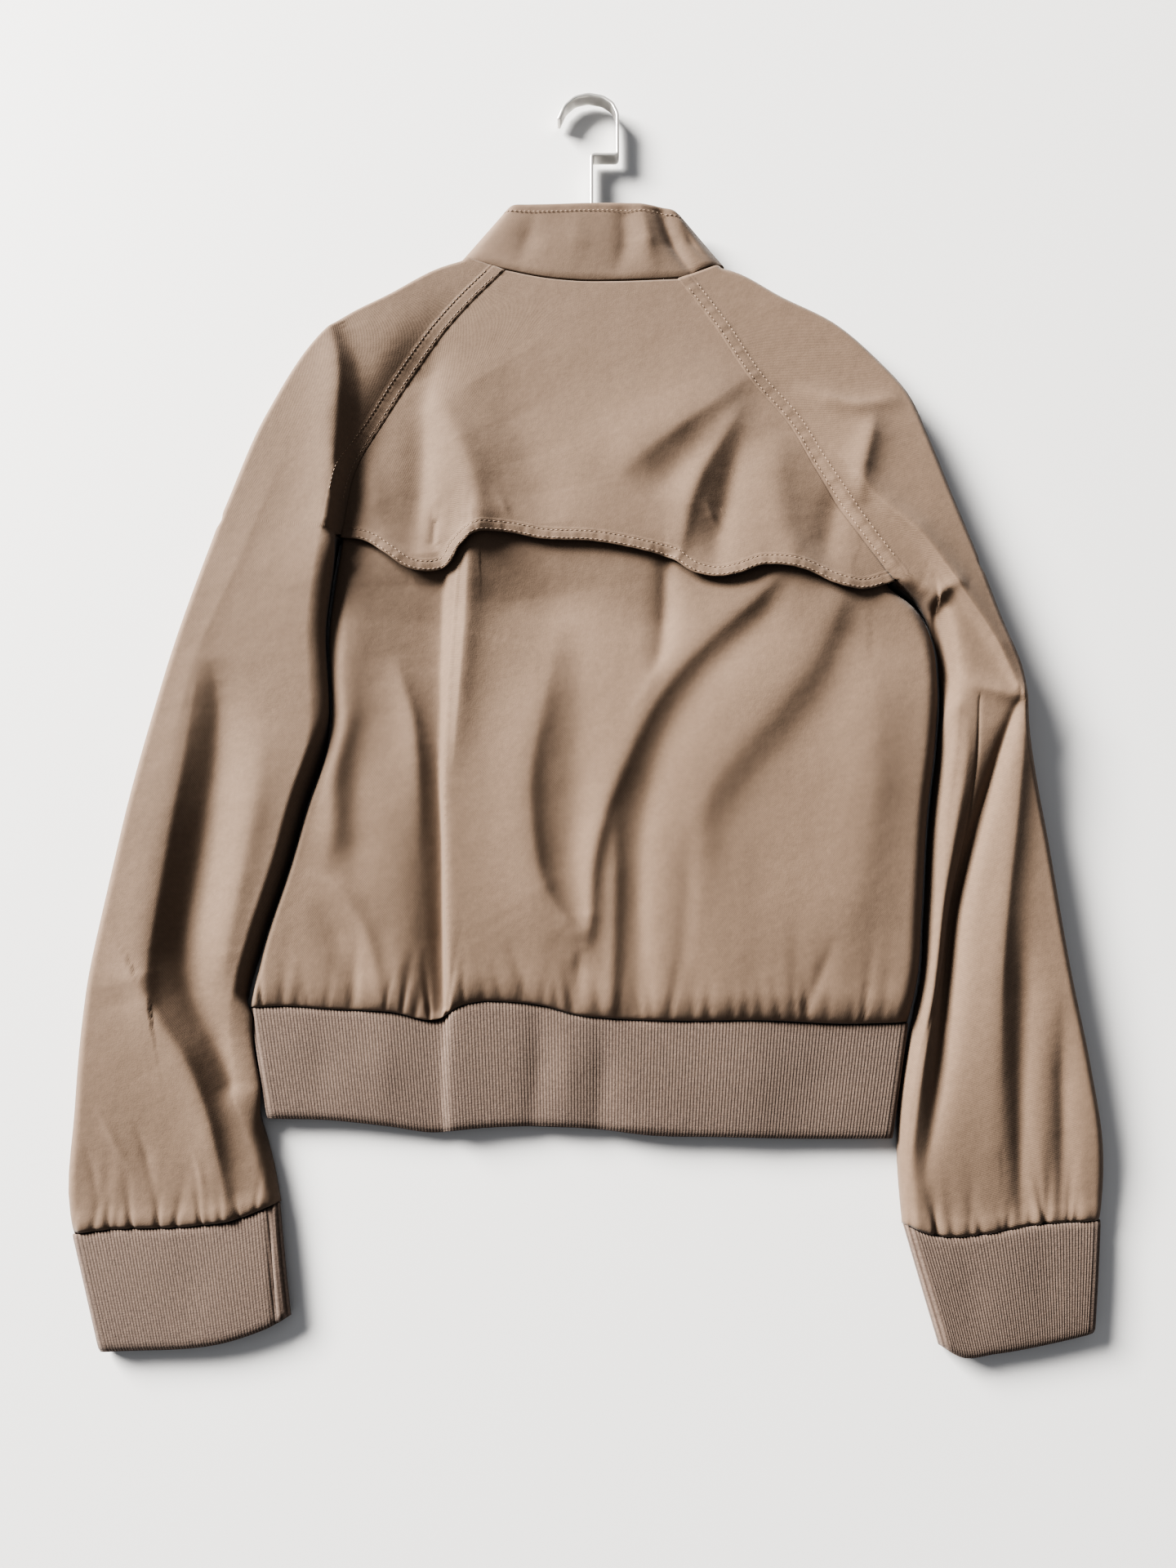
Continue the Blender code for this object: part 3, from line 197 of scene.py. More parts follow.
# ---- folds: how round each is, then its points: x, y, rise, left width, right width ----
PLEAT = [(-94, 84), (-97, 20), (-100, -57), (-101, -95), (-99, -150), (-96, -215), (-94, -262)]
BODY_FOLDS = [
    # the pleat: the cloth at its left dips under the layer at its right
    (0.3, [(-94, 84, 0.5, 5, 22), (-97, 20, 1, 3, 26), (-100, -57, 2.4, 2.4, 28),
           (-101, -95, 2.6, 2.4, 30), (-99, -150, 2.2, 2.2, 30), (-96, -215, 1.8, 2.2, 28),
           (-94, -262, 1.4, 2.2, 26)]),
    (1.0, [(-108, 0, 0, 14, 3), (-107, -57, -2, 14, 3), (-107, -95, -4.5, 15, 3),
           (-104, -150, -8.5, 16, 2.6), (-102, -215, -11, 16, 2.6), (-100, -262, -9, 14, 2.6)]),
    (0.7, [(-88, 84, 3, 7, 12), (-89, 50, 5, 7, 14), (-90, 10, 5.5, 7, 14),
           (-92, -30, 4.5, 6, 14), (-94, -65, 2.5, 5, 14), (-96, -100, 0, 5, 12)]),
    # the slope from the left sleeve down to the pleat
    (1.0, [(-112, 72, -3, 28, 8), (-110, 50, -8, 36, 7), (-109, 20, -9, 38, 6),
           (-109, -15, -7.5, 32, 6), (-108, -45, -4, 22, 6), (-107, -75, 0, 16, 6)]),
    (0.7, [(-178, 78, 1, 10, 28), (-177, 50, 5, 12, 34), (-177, 15, 6, 12, 34),
           (-177, -25, 6, 12, 24), (-174, -60, 6, 12, 13), (-181, -100, 5.5, 12, 12),
           (-180, -140, 3.5, 12, 13), (-184, -170, 0, 10, 12)]),
    (1.5, [(-36, 78, -2, 32, 34), (-28, 40, -5.6, 38, 42), (-26, 0, -4.6, 36, 34),
           (-34, -30, -1.5, 26, 24), (-40, -60, 0, 20, 20)]),
    # the middle valley: its crest and its bottom
    (1.0, [(-22, 24, 0, 26, 10), (-26, -5, 2.4, 30, 12), (-34, -50, 4.2, 34, 12),
           (-42, -100, 5.6, 36, 11), (-40, -140, 6.2, 34, 10), (-31, -180, 6, 28, 9),
           (-14, -204, 3.6, 20, 6), (-4, -216, 1, 16, 6)]),
    (1.5, [(-6, 20, 0, 8, 20), (-6, -20, -2, 16, 22), (-8, -60, -3.4, 20, 22),
           (-10, -120, -4.2, 22, 18), (-10, -165, -4.4, 20, 14), (-4, -195, -3.4, 14, 8),
           (-1, -210, 0, 10, 6)]),
    # the long ridge, and the valley at its right
    (0.5, [(146, 58, 1, 14, 9), (124, 34, 4, 18, 10), (94, 8, 4.4, 22, 13),
           (66, -20, 5.2, 22, 13), (44, -52, 5.4, 22, 13), (26, -90, 5.4, 20, 12),
           (12, -125, 5.6, 16, 10), (3, -165, 5.6, 14, 8), (1, -200, 5, 12, 7),
           (0, -218, 1, 10, 5)]),
    (1.5, [(150, 52, 0, 14, 12), (130, 22, -3.2, 18, 16), (102, -6, -4, 20, 18),
           (78, -34, -4.6, 22, 20), (56, -70, -5, 22, 20), (44, -104, -5, 22, 18),
           (37, -140, -5, 20, 12), (35, -190, -5.2, 20, 10), (34, -262, -3.6, 18, 10)]),
    (1.0, [(20, -120, 0, 6, 6), (19, -170, 2.4, 6, 7), (16, -262, 2, 6, 7)]),
    (0.6, [(-4, -216, 0, 6, 5), (-6, -235, -3, 7, 6), (-7, -262, -2.4, 7, 6)]),
    # the fold from the right underarm
    (1.0, [(192, 50, 1, 22, 12), (180, 20, 3.2, 24, 14), (159, -20, 3.6, 26, 17),
           (134, -50, 3.4, 26, 18), (110, -78, 2.6, 24, 18), (92, -100, 2.4, 20, 16),
           (82, -122, 2.2, 16, 13), (79, -160, 1.2, 14, 13), (72, -225, 0.4, 12, 12)]),
    (1.5, [(204, 42, 0, 16, 26), (193, 5, -3, 20, 30), (173, -38, -4, 24, 34),
           (150, -68, -3.8, 24, 34), (128, -94, -2.8, 22, 30), (108, -118, -2.2, 18, 26),
           (96, -150, -1, 14, 20), (88, -190, 0, 12, 18)]),
    (1.5, [(72, -130, 0, 8, 10), (70, -180, -1.3, 8, 10), (66, -262, -1, 8, 10)]),
    (2.0, [(128, -110, 0, 20, 24), (122, -160, -1.6, 22, 26), (120, -215, 0, 20, 24)]),
    (2.0, [(205, -20, 2, 28, 18), (200, -110, 4.4, 32, 20), (184, -190, 3.4, 32, 24),
           (166, -240, 0, 20, 20)]),
    (0.8, [(150, -262, -1.4, 5, 5), (162, -235, -1.4, 5, 5), (172, -212, 0, 5, 5)]),
    (0.8, [(-40, -262, -1.6, 4, 5), (-48, -236, -1.2, 4, 5), (-56, -214, 0, 4, 4)]),
    # under the flap
    (1.0, [(58, 66, -4, 9, 7), (57, 20, -5.5, 9, 8), (52, -12, -3, 8, 7), (46, -28, 0, 8, 6)]),
    (0.3, [(70, 12, 0, 3, 4), (56, -14, 0.6, 3, 5), (40, -40, 0.6, 3, 5), (28, -58, 0, 3, 4)]),
    # left of the pleat
    (0.5, [(-142, -8, 0, 12, 7), (-134, -32, 3, 14, 7), (-126, -58, 4.5, 14, 7),
           (-122, -90, 4, 14, 8), (-120, -130, 1.5, 14, 8), (-120, -165, 0, 12, 8)]),
    (1.5, [(-170, -60, 0, 12, 14), (-166, -110, -2.1, 12, 16), (-164, -150, -2.1, 12, 16),
           (-160, -185, 0, 12, 14)]),
    (0.5, [(-198, -168, 0, 8, 8), (-176, -180, 2.1, 9, 9), (-160, -200, 2.6, 10, 8),
           (-149, -225, 2.6, 10, 7), (-142, -258, 1.6, 8, 7)]),
    (1.5, [(-190, -190, 0, 10, 10), (-176, -212, -2.1, 10, 12), (-166, -240, -2.1, 10, 12),
           (-160, -262, -1, 8, 8)]),
    (1.0, [(-135, -205, 0, 8, 8), (-132, -235, 1.6, 8, 9), (-130, -262, 1, 8, 9)]),
    # the yoke's left
    (0.8, [(-128, 214, 0, 18, 14), (-115, 190, 4, 20, 16), (-98, 160, 6.5, 20, 18),
           (-87, 130, 6.5, 20, 17), (-82, 100, 5, 18, 14), (-81, 80, 2.5, 16, 12)]),
    (2.0, [(-80, 215, 0, 20, 34), (-58, 180, -4, 24, 40), (-42, 148, -4.6, 26, 40),
           (-34, 118, -3, 26, 34), (-32, 92, 0, 22, 26)]),
    # beside the left sleeve's crest
    (2.0, [(-142, 262, 0, 20, 26), (-156, 225, -2, 22, 30), (-164, 180, -3, 22, 24),
           (-172, 140, -2.5, 18, 18), (-178, 100, 0, 14, 14)]),
    (1.0, [(-112, 250, 0, 18, 14), (-121, 222, -3, 19, 14), (-127, 190, -5, 20, 13),
           (-126, 150, -6.6, 20, 12), (-127, 115, -6, 19, 12), (-129, 88, -3, 16, 10),
           (-131, 66, -1.5, 14, 10)]),
    (1.2, [(-166, 160, 0, 10, 10), (-163, 136, 1, 12, 9), (-160, 112, 1.4, 12, 9),
           (-156, 90, 0, 12, 9)]),
    (0.8, [(-112, 112, 0, 4, 5), (-114, 96, -2, 4, 5), (-116, 80, -1.5, 4, 5)]),
    (0.6, [(-70, 122, 0, 3, 3), (-62, 104, 0.9, 3, 3), (-56, 92, 0, 3, 3)]),
    # the yoke's right
    (1.2, [(132, 224, 0, 20, 14), (104, 198, 4.2, 32, 13), (70, 172, 6, 36, 13),
           (40, 148, 4.6, 34, 14), (18, 128, 0, 20, 14)]),
    (2.0, [(112, 172, 0, 16, 16), (84, 150, -3, 16, 18), (60, 128, -3, 16, 18),
           (40, 112, 0, 16, 16)]),
    (0.5, [(122, 196, 0, 14, 8), (104, 165, 4, 18, 11), (86, 135, 6, 20, 12),
           (75, 105, 6, 18, 12), (70, 80, 3.6, 14, 10), (66, 66, 2, 12, 10)]),
    (1.2, [(122, 170, 0, 12, 14), (109, 135, -4.6, 13, 14), (102, 105, -5.4, 13, 14),
           (96, 78, -3.4, 12, 12), (94, 60, -2, 12, 12)]),
    (0.8, [(86, 112, 0, 4, 4), (92, 98, 1.4, 4, 4), (98, 84, 0, 4, 4)]),
    (1.5, [(148, 168, 0, 14, 14), (141, 135, 3.4, 18, 18), (144, 95, 4, 18, 18),
           (156, 58, 2.4, 16, 16)]),
    (1.5, [(188, 130, 0, 12, 12), (184, 104, -3.4, 14, 12), (178, 76, -3, 12, 12),
           (174, 52, 0, 10, 10)])]
LEFT_FOLDS = [
    # the crest that falls to the yoke
    (0.5, [(-198, 252, 3, 20, 5), (-190, 222, 5, 20, 7), (-189, 180, 5.5, 20, 8),
           (-190, 130, 5.5, 20, 7), (-192, 90, 5, 20, 6), (-194, 60, 2.5, 20, 5),
           (-196, 30, 0, 20, 6)]),
    (1.5, [(-186, 248, -1, 7, 18), (-174, 216, -3.5, 10, 26), (-173, 182, -4, 9, 22),
           (-176, 142, -4, 8, 15), (-182, 104, -3, 7, 10), (-188, 80, 0, 6, 8)]),
    (0.15, [(-223, 160, 0, 20, 8), (-240, 110, 0.6, 20, 8), (-259, 54, 0.8, 18, 8),
            (-284, -16, 0.8, 14, 8), (-298, -110, 0, 10, 8)]),
    # the long fold to the forearm: its crest, its bottom, and the crest that turns to the cuff
    (0.5, [(-280, -6, 0, 26, 8), (-284, -45, 2, 30, 9), (-288, -90, 3.4, 34, 9),
           (-294, -140, 4.6, 36, 9), (-300, -200, 5.4, 36, 9), (-302, -240, 5.4, 32, 8),
           (-299, -256, 3, 20, 6)]),
    (1.2, [(-270, -14, 0, 8, 16), (-265, -50, -5, 12, 20), (-266, -90, -8, 14, 24),
           (-270, -130, -10, 16, 28), (-277, -180, -12, 16, 32), (-281, -225, -12, 15, 30),
           (-272, -258, -10, 12, 20), (-256, -285, -9, 12, 14), (-244, -312, -6, 10, 8)]),
    (0.5, [(-306, -246, 4, 16, 8), (-290, -272, 7.5, 18, 9), (-272, -296, 9, 20, 9),
           (-258, -325, 8, 20, 8), (-249, -352, 7, 18, 7), (-243, -380, 4, 16, 7),
           (-240, -404, 2, 12, 6)]),
    (1.5, [(-232, -60, 0, 18, 14), (-236, -120, 4.1, 20, 14), (-244, -180, 4.8, 20, 12),
           (-250, -225, 3.2, 16, 10), (-252, -250, 0, 12, 8)]),
    # small creases above the cuff
    (0.3, [(-332, -326, 0, 3, 3), (-318, -350, 1.4, 3, 4), (-302, -372, 0, 3, 3)]),
    (0.3, [(-306, -336, 0, 3, 3), (-296, -360, -1.4, 4, 4), (-290, -386, 0, 3, 3)]),
    (0.3, [(-266, -350, 0, 3, 3), (-258, -372, 1.4, 3, 4), (-254, -394, 0, 3, 3)]),
    (0.3, [(-338, -352, 0, 4, 4), (-330, -372, -1.2, 4, 4), (-326, -396, 0, 3, 3)])]
RIGHT_FOLDS = [
    # the shoulder
    (1.0, [(156, 204, 0, 10, 8), (182, 192, 3.4, 10, 8), (206, 186, 4, 10, 8),
           (226, 190, 2, 10, 8), (240, 196, 0, 8, 8)]),
    (0.5, [(218, 184, 0, 12, 9), (213, 164, 5, 14, 10), (206, 138, 6, 14, 10),
           (203, 118, 3, 10, 10), (204, 104, 0, 10, 10)]),
    (0.35, [(201, 128, 2, 5, 14), (220, 104, 5, 5, 16), (242, 82, 7, 5, 16),
            (272, 36, 7, 4, 16), (296, -6, 6, 4, 14), (308, -36, 3, 4, 10)]),
    # the underarm: its lip and its hollow
    (0.5, [(230, 52, 0, 5, 10), (239, 33, 3, 4, 12), (250, 30, 4.5, 4, 12),
           (261, 37, 4.5, 4, 10), (269, 41, 2, 5, 8), (277, 39, 0, 5, 5)]),
    (0.9, [(257, 24, -14, 8, 4.5), (258, 10, -22, 9, 4.5), (260, -15, -22, 9, 5),
           (262, -34, -8, 8, 6), (263, -50, 0, 6, 6)]),
    (0.8, [(264, -24, 0, 8, 9), (278, -35, 2.6, 7, 10), (294, -40, 4, 6, 9),
           (306, -44, 3.4, 5, 7)]),
    # the underarm seam
    (0.2, [(281, -43, -0.8, 1, 1.4), (277, -83, -1.4, 1, 1.4), (265, -150, -1.4, 1, 1.4),
           (258, -177, -1.4, 1, 1.4), (244, -240, -1.4, 1, 1.4), (228, -287, -1.2, 1, 1.4),
           (218, -335, -1, 1, 1.4), (213, -370, 0, 1, 1.4)]),
    # the deep crease, the strip with the seam at its left, and the roll at its right
    (0.5, [(308, -46, -2.7, 5, 4), (295, -80, -7.3, 7, 4), (283, -116, -10, 8, 4),
           (270, -155, -11.8, 9, 4), (259, -190, -13.7, 9, 5), (250, -240, -13.7, 8, 6),
           (240, -300, -9.1, 8, 7), (230, -350, -3.6, 8, 8), (224, -380, 0, 8, 8)]),
    (0.8, [(272, -50, 0, 8, 8), (268, -90, 3.6, 8, 8), (258, -140, 4.5, 7, 7),
           (248, -190, 4.5, 6, 6), (236, -250, 4.5, 6, 6), (224, -310, 3.6, 6, 7),
           (217, -350, 1.8, 6, 8)]),
    (0.6, [(312, -44, 3.6, 14, 8), (306, -90, 6.4, 18, 9), (298, -140, 7.3, 20, 10),
           (289, -190, 7.3, 20, 10), (282, -240, 6.4, 22, 10), (278, -300, 3.6, 24, 12),
           (276, -350, 0.9, 22, 12)]),
    (1.2, [(300, -200, 0, 10, 12), (298, -250, -4.5, 10, 12), (294, -300, -5.5, 10, 10),
           (291, -350, -4.5, 8, 8), (289, -398, -2.7, 6, 6)]),
    (1.0, [(326, -250, 0, 8, 10), (322, -310, -4.5, 9, 9), (320, -350, -4.5, 8, 8),
           (315, -398, -1.8, 6, 6)])]
COLLAR_FOLDS = [
    (1.2, [(20, 300, 0, 8, 8), (29, 325, -2.6, 7, 9), (28, 350, -2, 7, 9), (26, 362, 0, 7, 8)]),
    (0.8, [(50, 300, 0, 8, 6), (47, 330, 3, 9, 6), (42, 358, 1, 8, 6)]),
    (0.8, [(82, 303, -2, 6, 5), (67, 330, -6, 7, 6), (58, 354, -3.4, 7, 6)]),
    (0.5, [(96, 312, 0, 5, 4), (82, 330, -2.4, 5, 4), (74, 346, 0, 5, 4)]),
    (1.5, [(-56, 306, 0, 9, 9), (-48, 332, -2, 9, 10), (-42, 358, 0, 8, 8)]),
    (1.5, [(-14, 300, 0, 12, 12), (-10, 330, 1.2, 14, 14), (-8, 360, 0, 12, 12)])]
HEM_FOLDS = [
    (0.8, [(-92, -255, 1.8, 4.5, 26), (-94, -290, 1.8, 4.5, 28), (-92, -345, 1.6, 4.5, 26)]),
    (1.0, [(-99, -255, -3, 24, 4), (-101, -290, -3, 26, 4), (-99, -345, -2.6, 24, 4)]),
    (1.5, [(-186, -264, 0, 12, 12), (-182, -300, -1.4, 14, 14), (-180, -338, 0, 12, 12)]),
    (1.5, [(-146, -265, 0, 12, 10), (-140, -300, 1.6, 14, 12), (-138, -340, 0, 12, 10)]),
    (1.5, [(-36, -262, -1, 8, 10), (-34, -300, -3, 9, 12), (-38, -342, -1.6, 9, 10)]),
    (1.5, [(6, -268, 0, 8, 10), (10, -305, -3, 10, 12), (6, -343, -1.6, 9, 10)]),
    (1.5, [(-18, -268, 0, 8, 8), (-14, -305, 1.6, 10, 10), (-12, -340, 0, 8, 8)]),
    (2.0, [(108, -270, 1.6, 36, 22), (112, -310, 2.4, 40, 24), (110, -348, 1.6, 36, 22)]),
    (2.0, [(160, -272, 0, 20, 20), (158, -310, -1.6, 22, 24), (158, -345, 0, 20, 20)]),
    (1.0, [(12, -343, 0, 8, 4), (40, -338, 1.6, 8, 4), (70, -345, 0, 8, 4)])]
CUFF_LEFT_FOLDS = [
    (0.3, [(-213, -392, -2, 1.6, 1.6), (-210, -420, -2.2, 1.6, 1.6), (-205, -466, -2, 1.6, 1.6)]),
    (1.5, [(-270, -408, 0, 12, 14), (-262, -440, -1.2, 14, 16), (-258, -478, 0, 12, 14)])]
CUFF_RIGHT_FOLDS = [
    (1.5, [(248, -410, 0, 10, 12), (252, -445, -1.4, 12, 14), (256, -484, 0, 10, 12)]),
    (1.5, [(300, -404, 0, 12, 12), (302, -440, -1.2, 14, 14), (304, -476, 0, 12, 12)])]
FRONT_LIFTS = [
    (1.2, [(110, -250, 0, 8, 8), (104, -150, 2.2, 9, 9), (122, -40, 0, 8, 8)]),
    (1.2, [(190, -200, 0, 8, 8), (170, -90, 2.4, 9, 9), (186, 10, 0, 8, 8)]),
    (1.2, [(60, -60, 0, 7, 7), (84, 40, 2.0, 8, 8), (120, 130, 0, 7, 7)]),
    (1.2, [(44, -230, 0, 6, 6), (52, -130, 1.6, 6, 6), (46, -50, 0, 6, 6)])]

# ---- sleeves ----
Sleeve = namedtuple("Sleeve", "name nodes outer shoulder inner raglan cuff_seam front_neck "
                              "heights folds bulges left seed")
LEFT_SLEEVE = Sleeve(
    "sleeve_left_cloth", ("sleeve_left_back", "sleeve_left_front"), SLEEVE_LEFT_OUTER,
    SHOULDER_LEFT, SLEEVE_LEFT_INNER, [(x + SEAM_LAP, y) for x, y in RAGLAN_LEFT],
    CUFF_SEAM_LEFT, SLEEVE_NECK_LEFT, LEFT_HEIGHTS, LEFT_FOLDS,
    [(5, -90, 90), (9, -350, -250)], True, 11)   # bulges: reach, lowest y, highest y
RIGHT_SLEEVE = Sleeve(
    "sleeve_right_cloth", ("sleeve_right_back", "sleeve_right_front"), SLEEVE_RIGHT_OUTER,
    SHOULDER_RIGHT, SLEEVE_RIGHT_INNER, [(x - SEAM_LAP, y) for x, y in RAGLAN_RIGHT],
    CUFF_SEAM_RIGHT, SLEEVE_NECK_RIGHT, RIGHT_HEIGHTS, RIGHT_FOLDS, [], False, 12)


# ---------------------------------------------------------------- settings
class JacketCloth(bpy.types.PropertyGroup):
    """Sizes and colour of the woven cotton and its sewing."""
    colour: FloatVectorProperty(
        name="Cloth Colour", description="Base colour of the cotton", subtype="COLOR",
        size=3, min=0, max=1, default=(0.122, 0.084, 0.059))
    thread: FloatVectorProperty(
        name="Thread Colour", description="Colour of the topstitching", subtype="COLOR",
        size=3, min=0, max=1, default=(0.215, 0.152, 0.110))
    thickness: FloatProperty(
        name="Cloth Thickness", description="Wall of a panel", unit="LENGTH",
        default=0.0009, min=0.0003, max=0.002)
    weave: FloatProperty(
        name="Weave Pitch", description="From one twill line to the next", unit="LENGTH",
        default=0.0007, min=0.0002, max=0.003)
    stitch: FloatProperty(
        name="Stitch Length", description="From one stitch to the next", unit="LENGTH",
        default=0.0036, min=0.001, max=0.006)
    columns: IntProperty(
        name="Columns", description="Grid columns across the back", default=236, min=20, max=400)


class JacketRib(bpy.types.PropertyGroup):
    """Sizes and colour of the rib knit."""
    colour: FloatVectorProperty(
        name="Rib Colour", description="Base colour of the knit", subtype="COLOR",
        size=3, min=0, max=1, default=(0.126, 0.091, 0.072))
    pitch: FloatProperty(
        name="Rib Pitch", description="From rib to rib", unit="LENGTH",
        default=0.0023, min=0.001, max=0.006)
    rise: FloatProperty(
        name="Rib Rise", description="Height of a rib above its valley", unit="LENGTH",
        default=0.0010, min=0.0001, max=0.002)
    thickness: FloatProperty(
        name="Rib Thickness", description="Both layers of a band's wall", unit="LENGTH",
        default=0.0025, min=0.001, max=0.004)


class JacketStage(bpy.types.PropertyGroup):
    """Camera, light and floor."""
    camera: FloatVectorProperty(
        name="Camera Position", description="Where the picture is taken from", size=3,
        subtype="XYZ", unit="LENGTH", default=(0.001, -0.27773, 0.839))
    tilt: FloatProperty(
        name="Camera Tilt", description="Angle of the view from straight down",
        subtype="ANGLE", default=math.radians(12))
    lens: FloatProperty(
        name="Lens", description="Focal length on a 36 mm frame, in millimetres",
        default=27.04, min=10, max=200)
    window: FloatProperty(
        name="Window Power", description="Power of the large soft light at the left",
        unit="POWER", default=5700, min=0)
    floor: FloatVectorProperty(
        name="Floor Colour", description="Colour of the plain floor", subtype="COLOR",
        size=3, min=0, max=1, default=(0.54, 0.535, 0.525))


def settings():
    """The settings of the cloth and of the rib knit."""
    return bpy.context.scene.jacket_cloth, bpy.context.scene.jacket_rib


# ---------------------------------------------------------------- curves and heights
def spline(points, even=False):
    """A smooth curve through the points, as a function of a share from 0 to 1."""
    path = np.array(points, float)
    gaps = np.ones(len(path) - 1) if even else np.linalg.norm(np.diff(path, axis=0), axis=1)
    knots = np.concatenate([[0.0], np.cumsum(gaps)]) / gaps.sum()
    slopes = np.gradient(path, knots, axis=0)

    def at(share):
        share = np.asarray(share, float)
        start = np.clip(np.searchsorted(knots, share, side="right") - 1, 0, len(knots) - 2)
        span = (knots[start + 1] - knots[start])[..., None]
        s = (share[..., None] - knots[start][..., None]) / span
        away = 2 * s**3 - 3 * s**2 + 1
        return (away * path[start] + (1 - away) * path[start + 1]
                + (s**3 - 2 * s**2 + s) * span * slopes[start]
                + (s**3 - s**2) * span * slopes[start + 1])
    return at


def patch(bottom, top, left, right, across, up):
    """Plan points of a panel between four curves, by row from the bottom and by column."""
    u = across[None, :, None]
    v = up[:, None, None]
    low, high = bottom(across)[None], top(across)[None]
    near, far = left(up)[:, None], right(up)[:, None]
    corners = ((1 - u) * (1 - v) * low[:, :1] + u * (1 - v) * low[:, -1:]
               + (1 - u) * v * high[:, :1] + u * v * high[:, -1:])
    return (1 - v) * low + v * high + (1 - u) * near + u * far - corners


def straight(start, end):
    """A straight line, as a function of a share from 0 to 1."""
    start, end = np.array(start, float), np.array(end, float)
    return lambda share: start + np.asarray(share)[..., None] * (end - start)


def line_at(points, x):
    """The y of a curve at each x; the curve runs from left to right."""
    path = spline(points)(np.linspace(0, 1, 12 * len(points)))
    return np.interp(x, path[:, 0], path[:, 1])


def along(x, y, points, reach=np.inf):
    """Signed distance to a curve, positive on its right, and how far along it, both in mm."""
    path = spline(points)(np.linspace(0, 1, 5 * len(points)))
    nearest = np.full(x.shape, np.inf)
    side = np.ones(x.shape)
    run = np.zeros(x.shape)
    low, high = path.min(axis=0) - reach, path.max(axis=0) + reach
    near = (x > low[0]) & (x < high[0]) & (y > low[1]) & (y < high[1])
    px, py = x[near], y[near]
    best, sign, share = nearest[near], side[near], run[near]
    steps = np.linalg.norm(np.diff(path, axis=0), axis=1)
    start = np.concatenate([[0], np.cumsum(steps)])
    for i in range(len(path) - 1):
        (ax, ay), (bx, by) = path[i], path[i + 1]
        dx, dy = bx - ax, by - ay
        t = np.clip(((px - ax) * dx + (py - ay) * dy) / (dx * dx + dy * dy), 0, 1)
        far = np.hypot(px - ax - t * dx, py - ay - t * dy)
        closer = far < best
        best = np.where(closer, far, best)
        sign = np.where(closer, np.sign((py - ay) * dx - (px - ax) * dy), sign)
        share = np.where(closer, start[i] + t * steps[i], share)
    nearest[near], side[near], run[near] = best, sign, share
    return -side * nearest, run, start[-1]


def rolling(x, y, heights):
    """Smooth height between the listed ones."""
    total = np.zeros(x.shape)
    weights = np.full(x.shape, 1e-12)
    for px, py, pz in heights:
        weight = np.exp(-((x - px) ** 2 + (y - py) ** 2) / (2 * HEIGHT_REACH**2))
        total += weight * pz
        weights += weight
    return total / weights


def smooth(share):
    """Ease from 0 to 1."""
    share = np.clip(share, 0, 1)
    return share * share * (3 - 2 * share)


def folded(x, y, folds):
    """Sum of the folds, whose rise and widths change from point to point."""
    height = np.zeros(x.shape)
    for roundness, points in folds:
        upward = points if points[0][1] <= points[-1][1] else points[::-1]
        table = np.array(upward, float)
        offset, run, length = along(x, y, table[:, :2], 4 * table[:, 3:].max())
        steps = np.linalg.norm(np.diff(table[:, :2], axis=0), axis=1)
        station = np.concatenate([[0], np.cumsum(steps)]) * length / steps.sum()
        rise, left, right = (np.interp(run, station, table[:, k]) for k in (2, 3, 4))
        near = np.isfinite(offset)
        t = np.where(near, offset, 0) / np.where(offset < 0, left, right)
        profile = np.exp(roundness - np.sqrt((1 + 2 * roundness) * t * t + roundness**2))
        height += rise * profile * near
    return height


def body_height(x, y):
    """Height of the body's cloth, without what its edges do."""
    return rolling(x, y, BODY_HEIGHTS) + folded(x, y, BODY_FOLDS)


def quarter_round(share):
    """Rise of a quarter circle, from 0 to 1."""
    return np.sqrt(1 - (1 - np.clip(share, 0, 1)) ** 2)


def rounded(height, x, y, edge, radius, rim):
    """Bring the height down to the rim over an edge line, with a quarter round."""
    rim = np.minimum(rim, height)
    return rim + (height - rim) * quarter_round(np.abs(along(x, y, edge)[0]) / radius)


def gathers(x, distance, count, seed, low, high, rise):
    """Pinched valleys that run up from a gathered seam, uneven in place, length and depth."""
    random = np.random.default_rng(seed)
    height = np.zeros(x.shape)
    places = np.linspace(low, high, count) + random.uniform(-4.5, 4.5, count)
    for place in places:
        length, width = random.uniform(6, 28), random.uniform(1.1, 2.4)
        lean, depth = random.uniform(-0.2, 0.2), rise * random.uniform(0.4, 1.2)
        offset = (x - place - lean * distance) / (width * (1 + 0.04 * distance))
        height -= depth * np.exp(-offset * offset) * np.exp(-distance / length)
    return height


def puckers(distance, run, width, pitch, seed):
    """Low relief of a pressed and topstitched edge: a raised strip, rippled along the row."""
    random = np.random.default_rng(seed)
    wave = sum(np.sin(run * 2 * np.pi / (pitch * k) + random.uniform(0, 6.28))
               for k in (0.7, 1.0, 1.6))
    inside = smooth(distance / 1.2) * smooth((width + 1 - distance) / 1.6)
    row = np.exp(-((distance - width + 1.5) / 1.1) ** 2)
    relief = 0.5 * inside + 0.16 * wave * inside - 0.35 * row * (1 + 0.35 * wave)
    return relief * (distance < width + 5)


# ---------------------------------------------------------------- meshes and pieces
def grid_mesh(points):
    """A bmesh grid whose points are the given ones, in the frame, with their indices kept."""
    rows, columns = points.shape[:2]
    mesh = bmesh.new()
    bmesh.ops.create_grid(mesh, x_segments=columns - 1, y_segments=rows - 1, size=0.5)
    moved = (points + np.array(PLAN_SHIFT)).reshape(-1, 3) * MM
    for vertex, point in zip(mesh.verts, moved):
        vertex.co = point
    return mesh


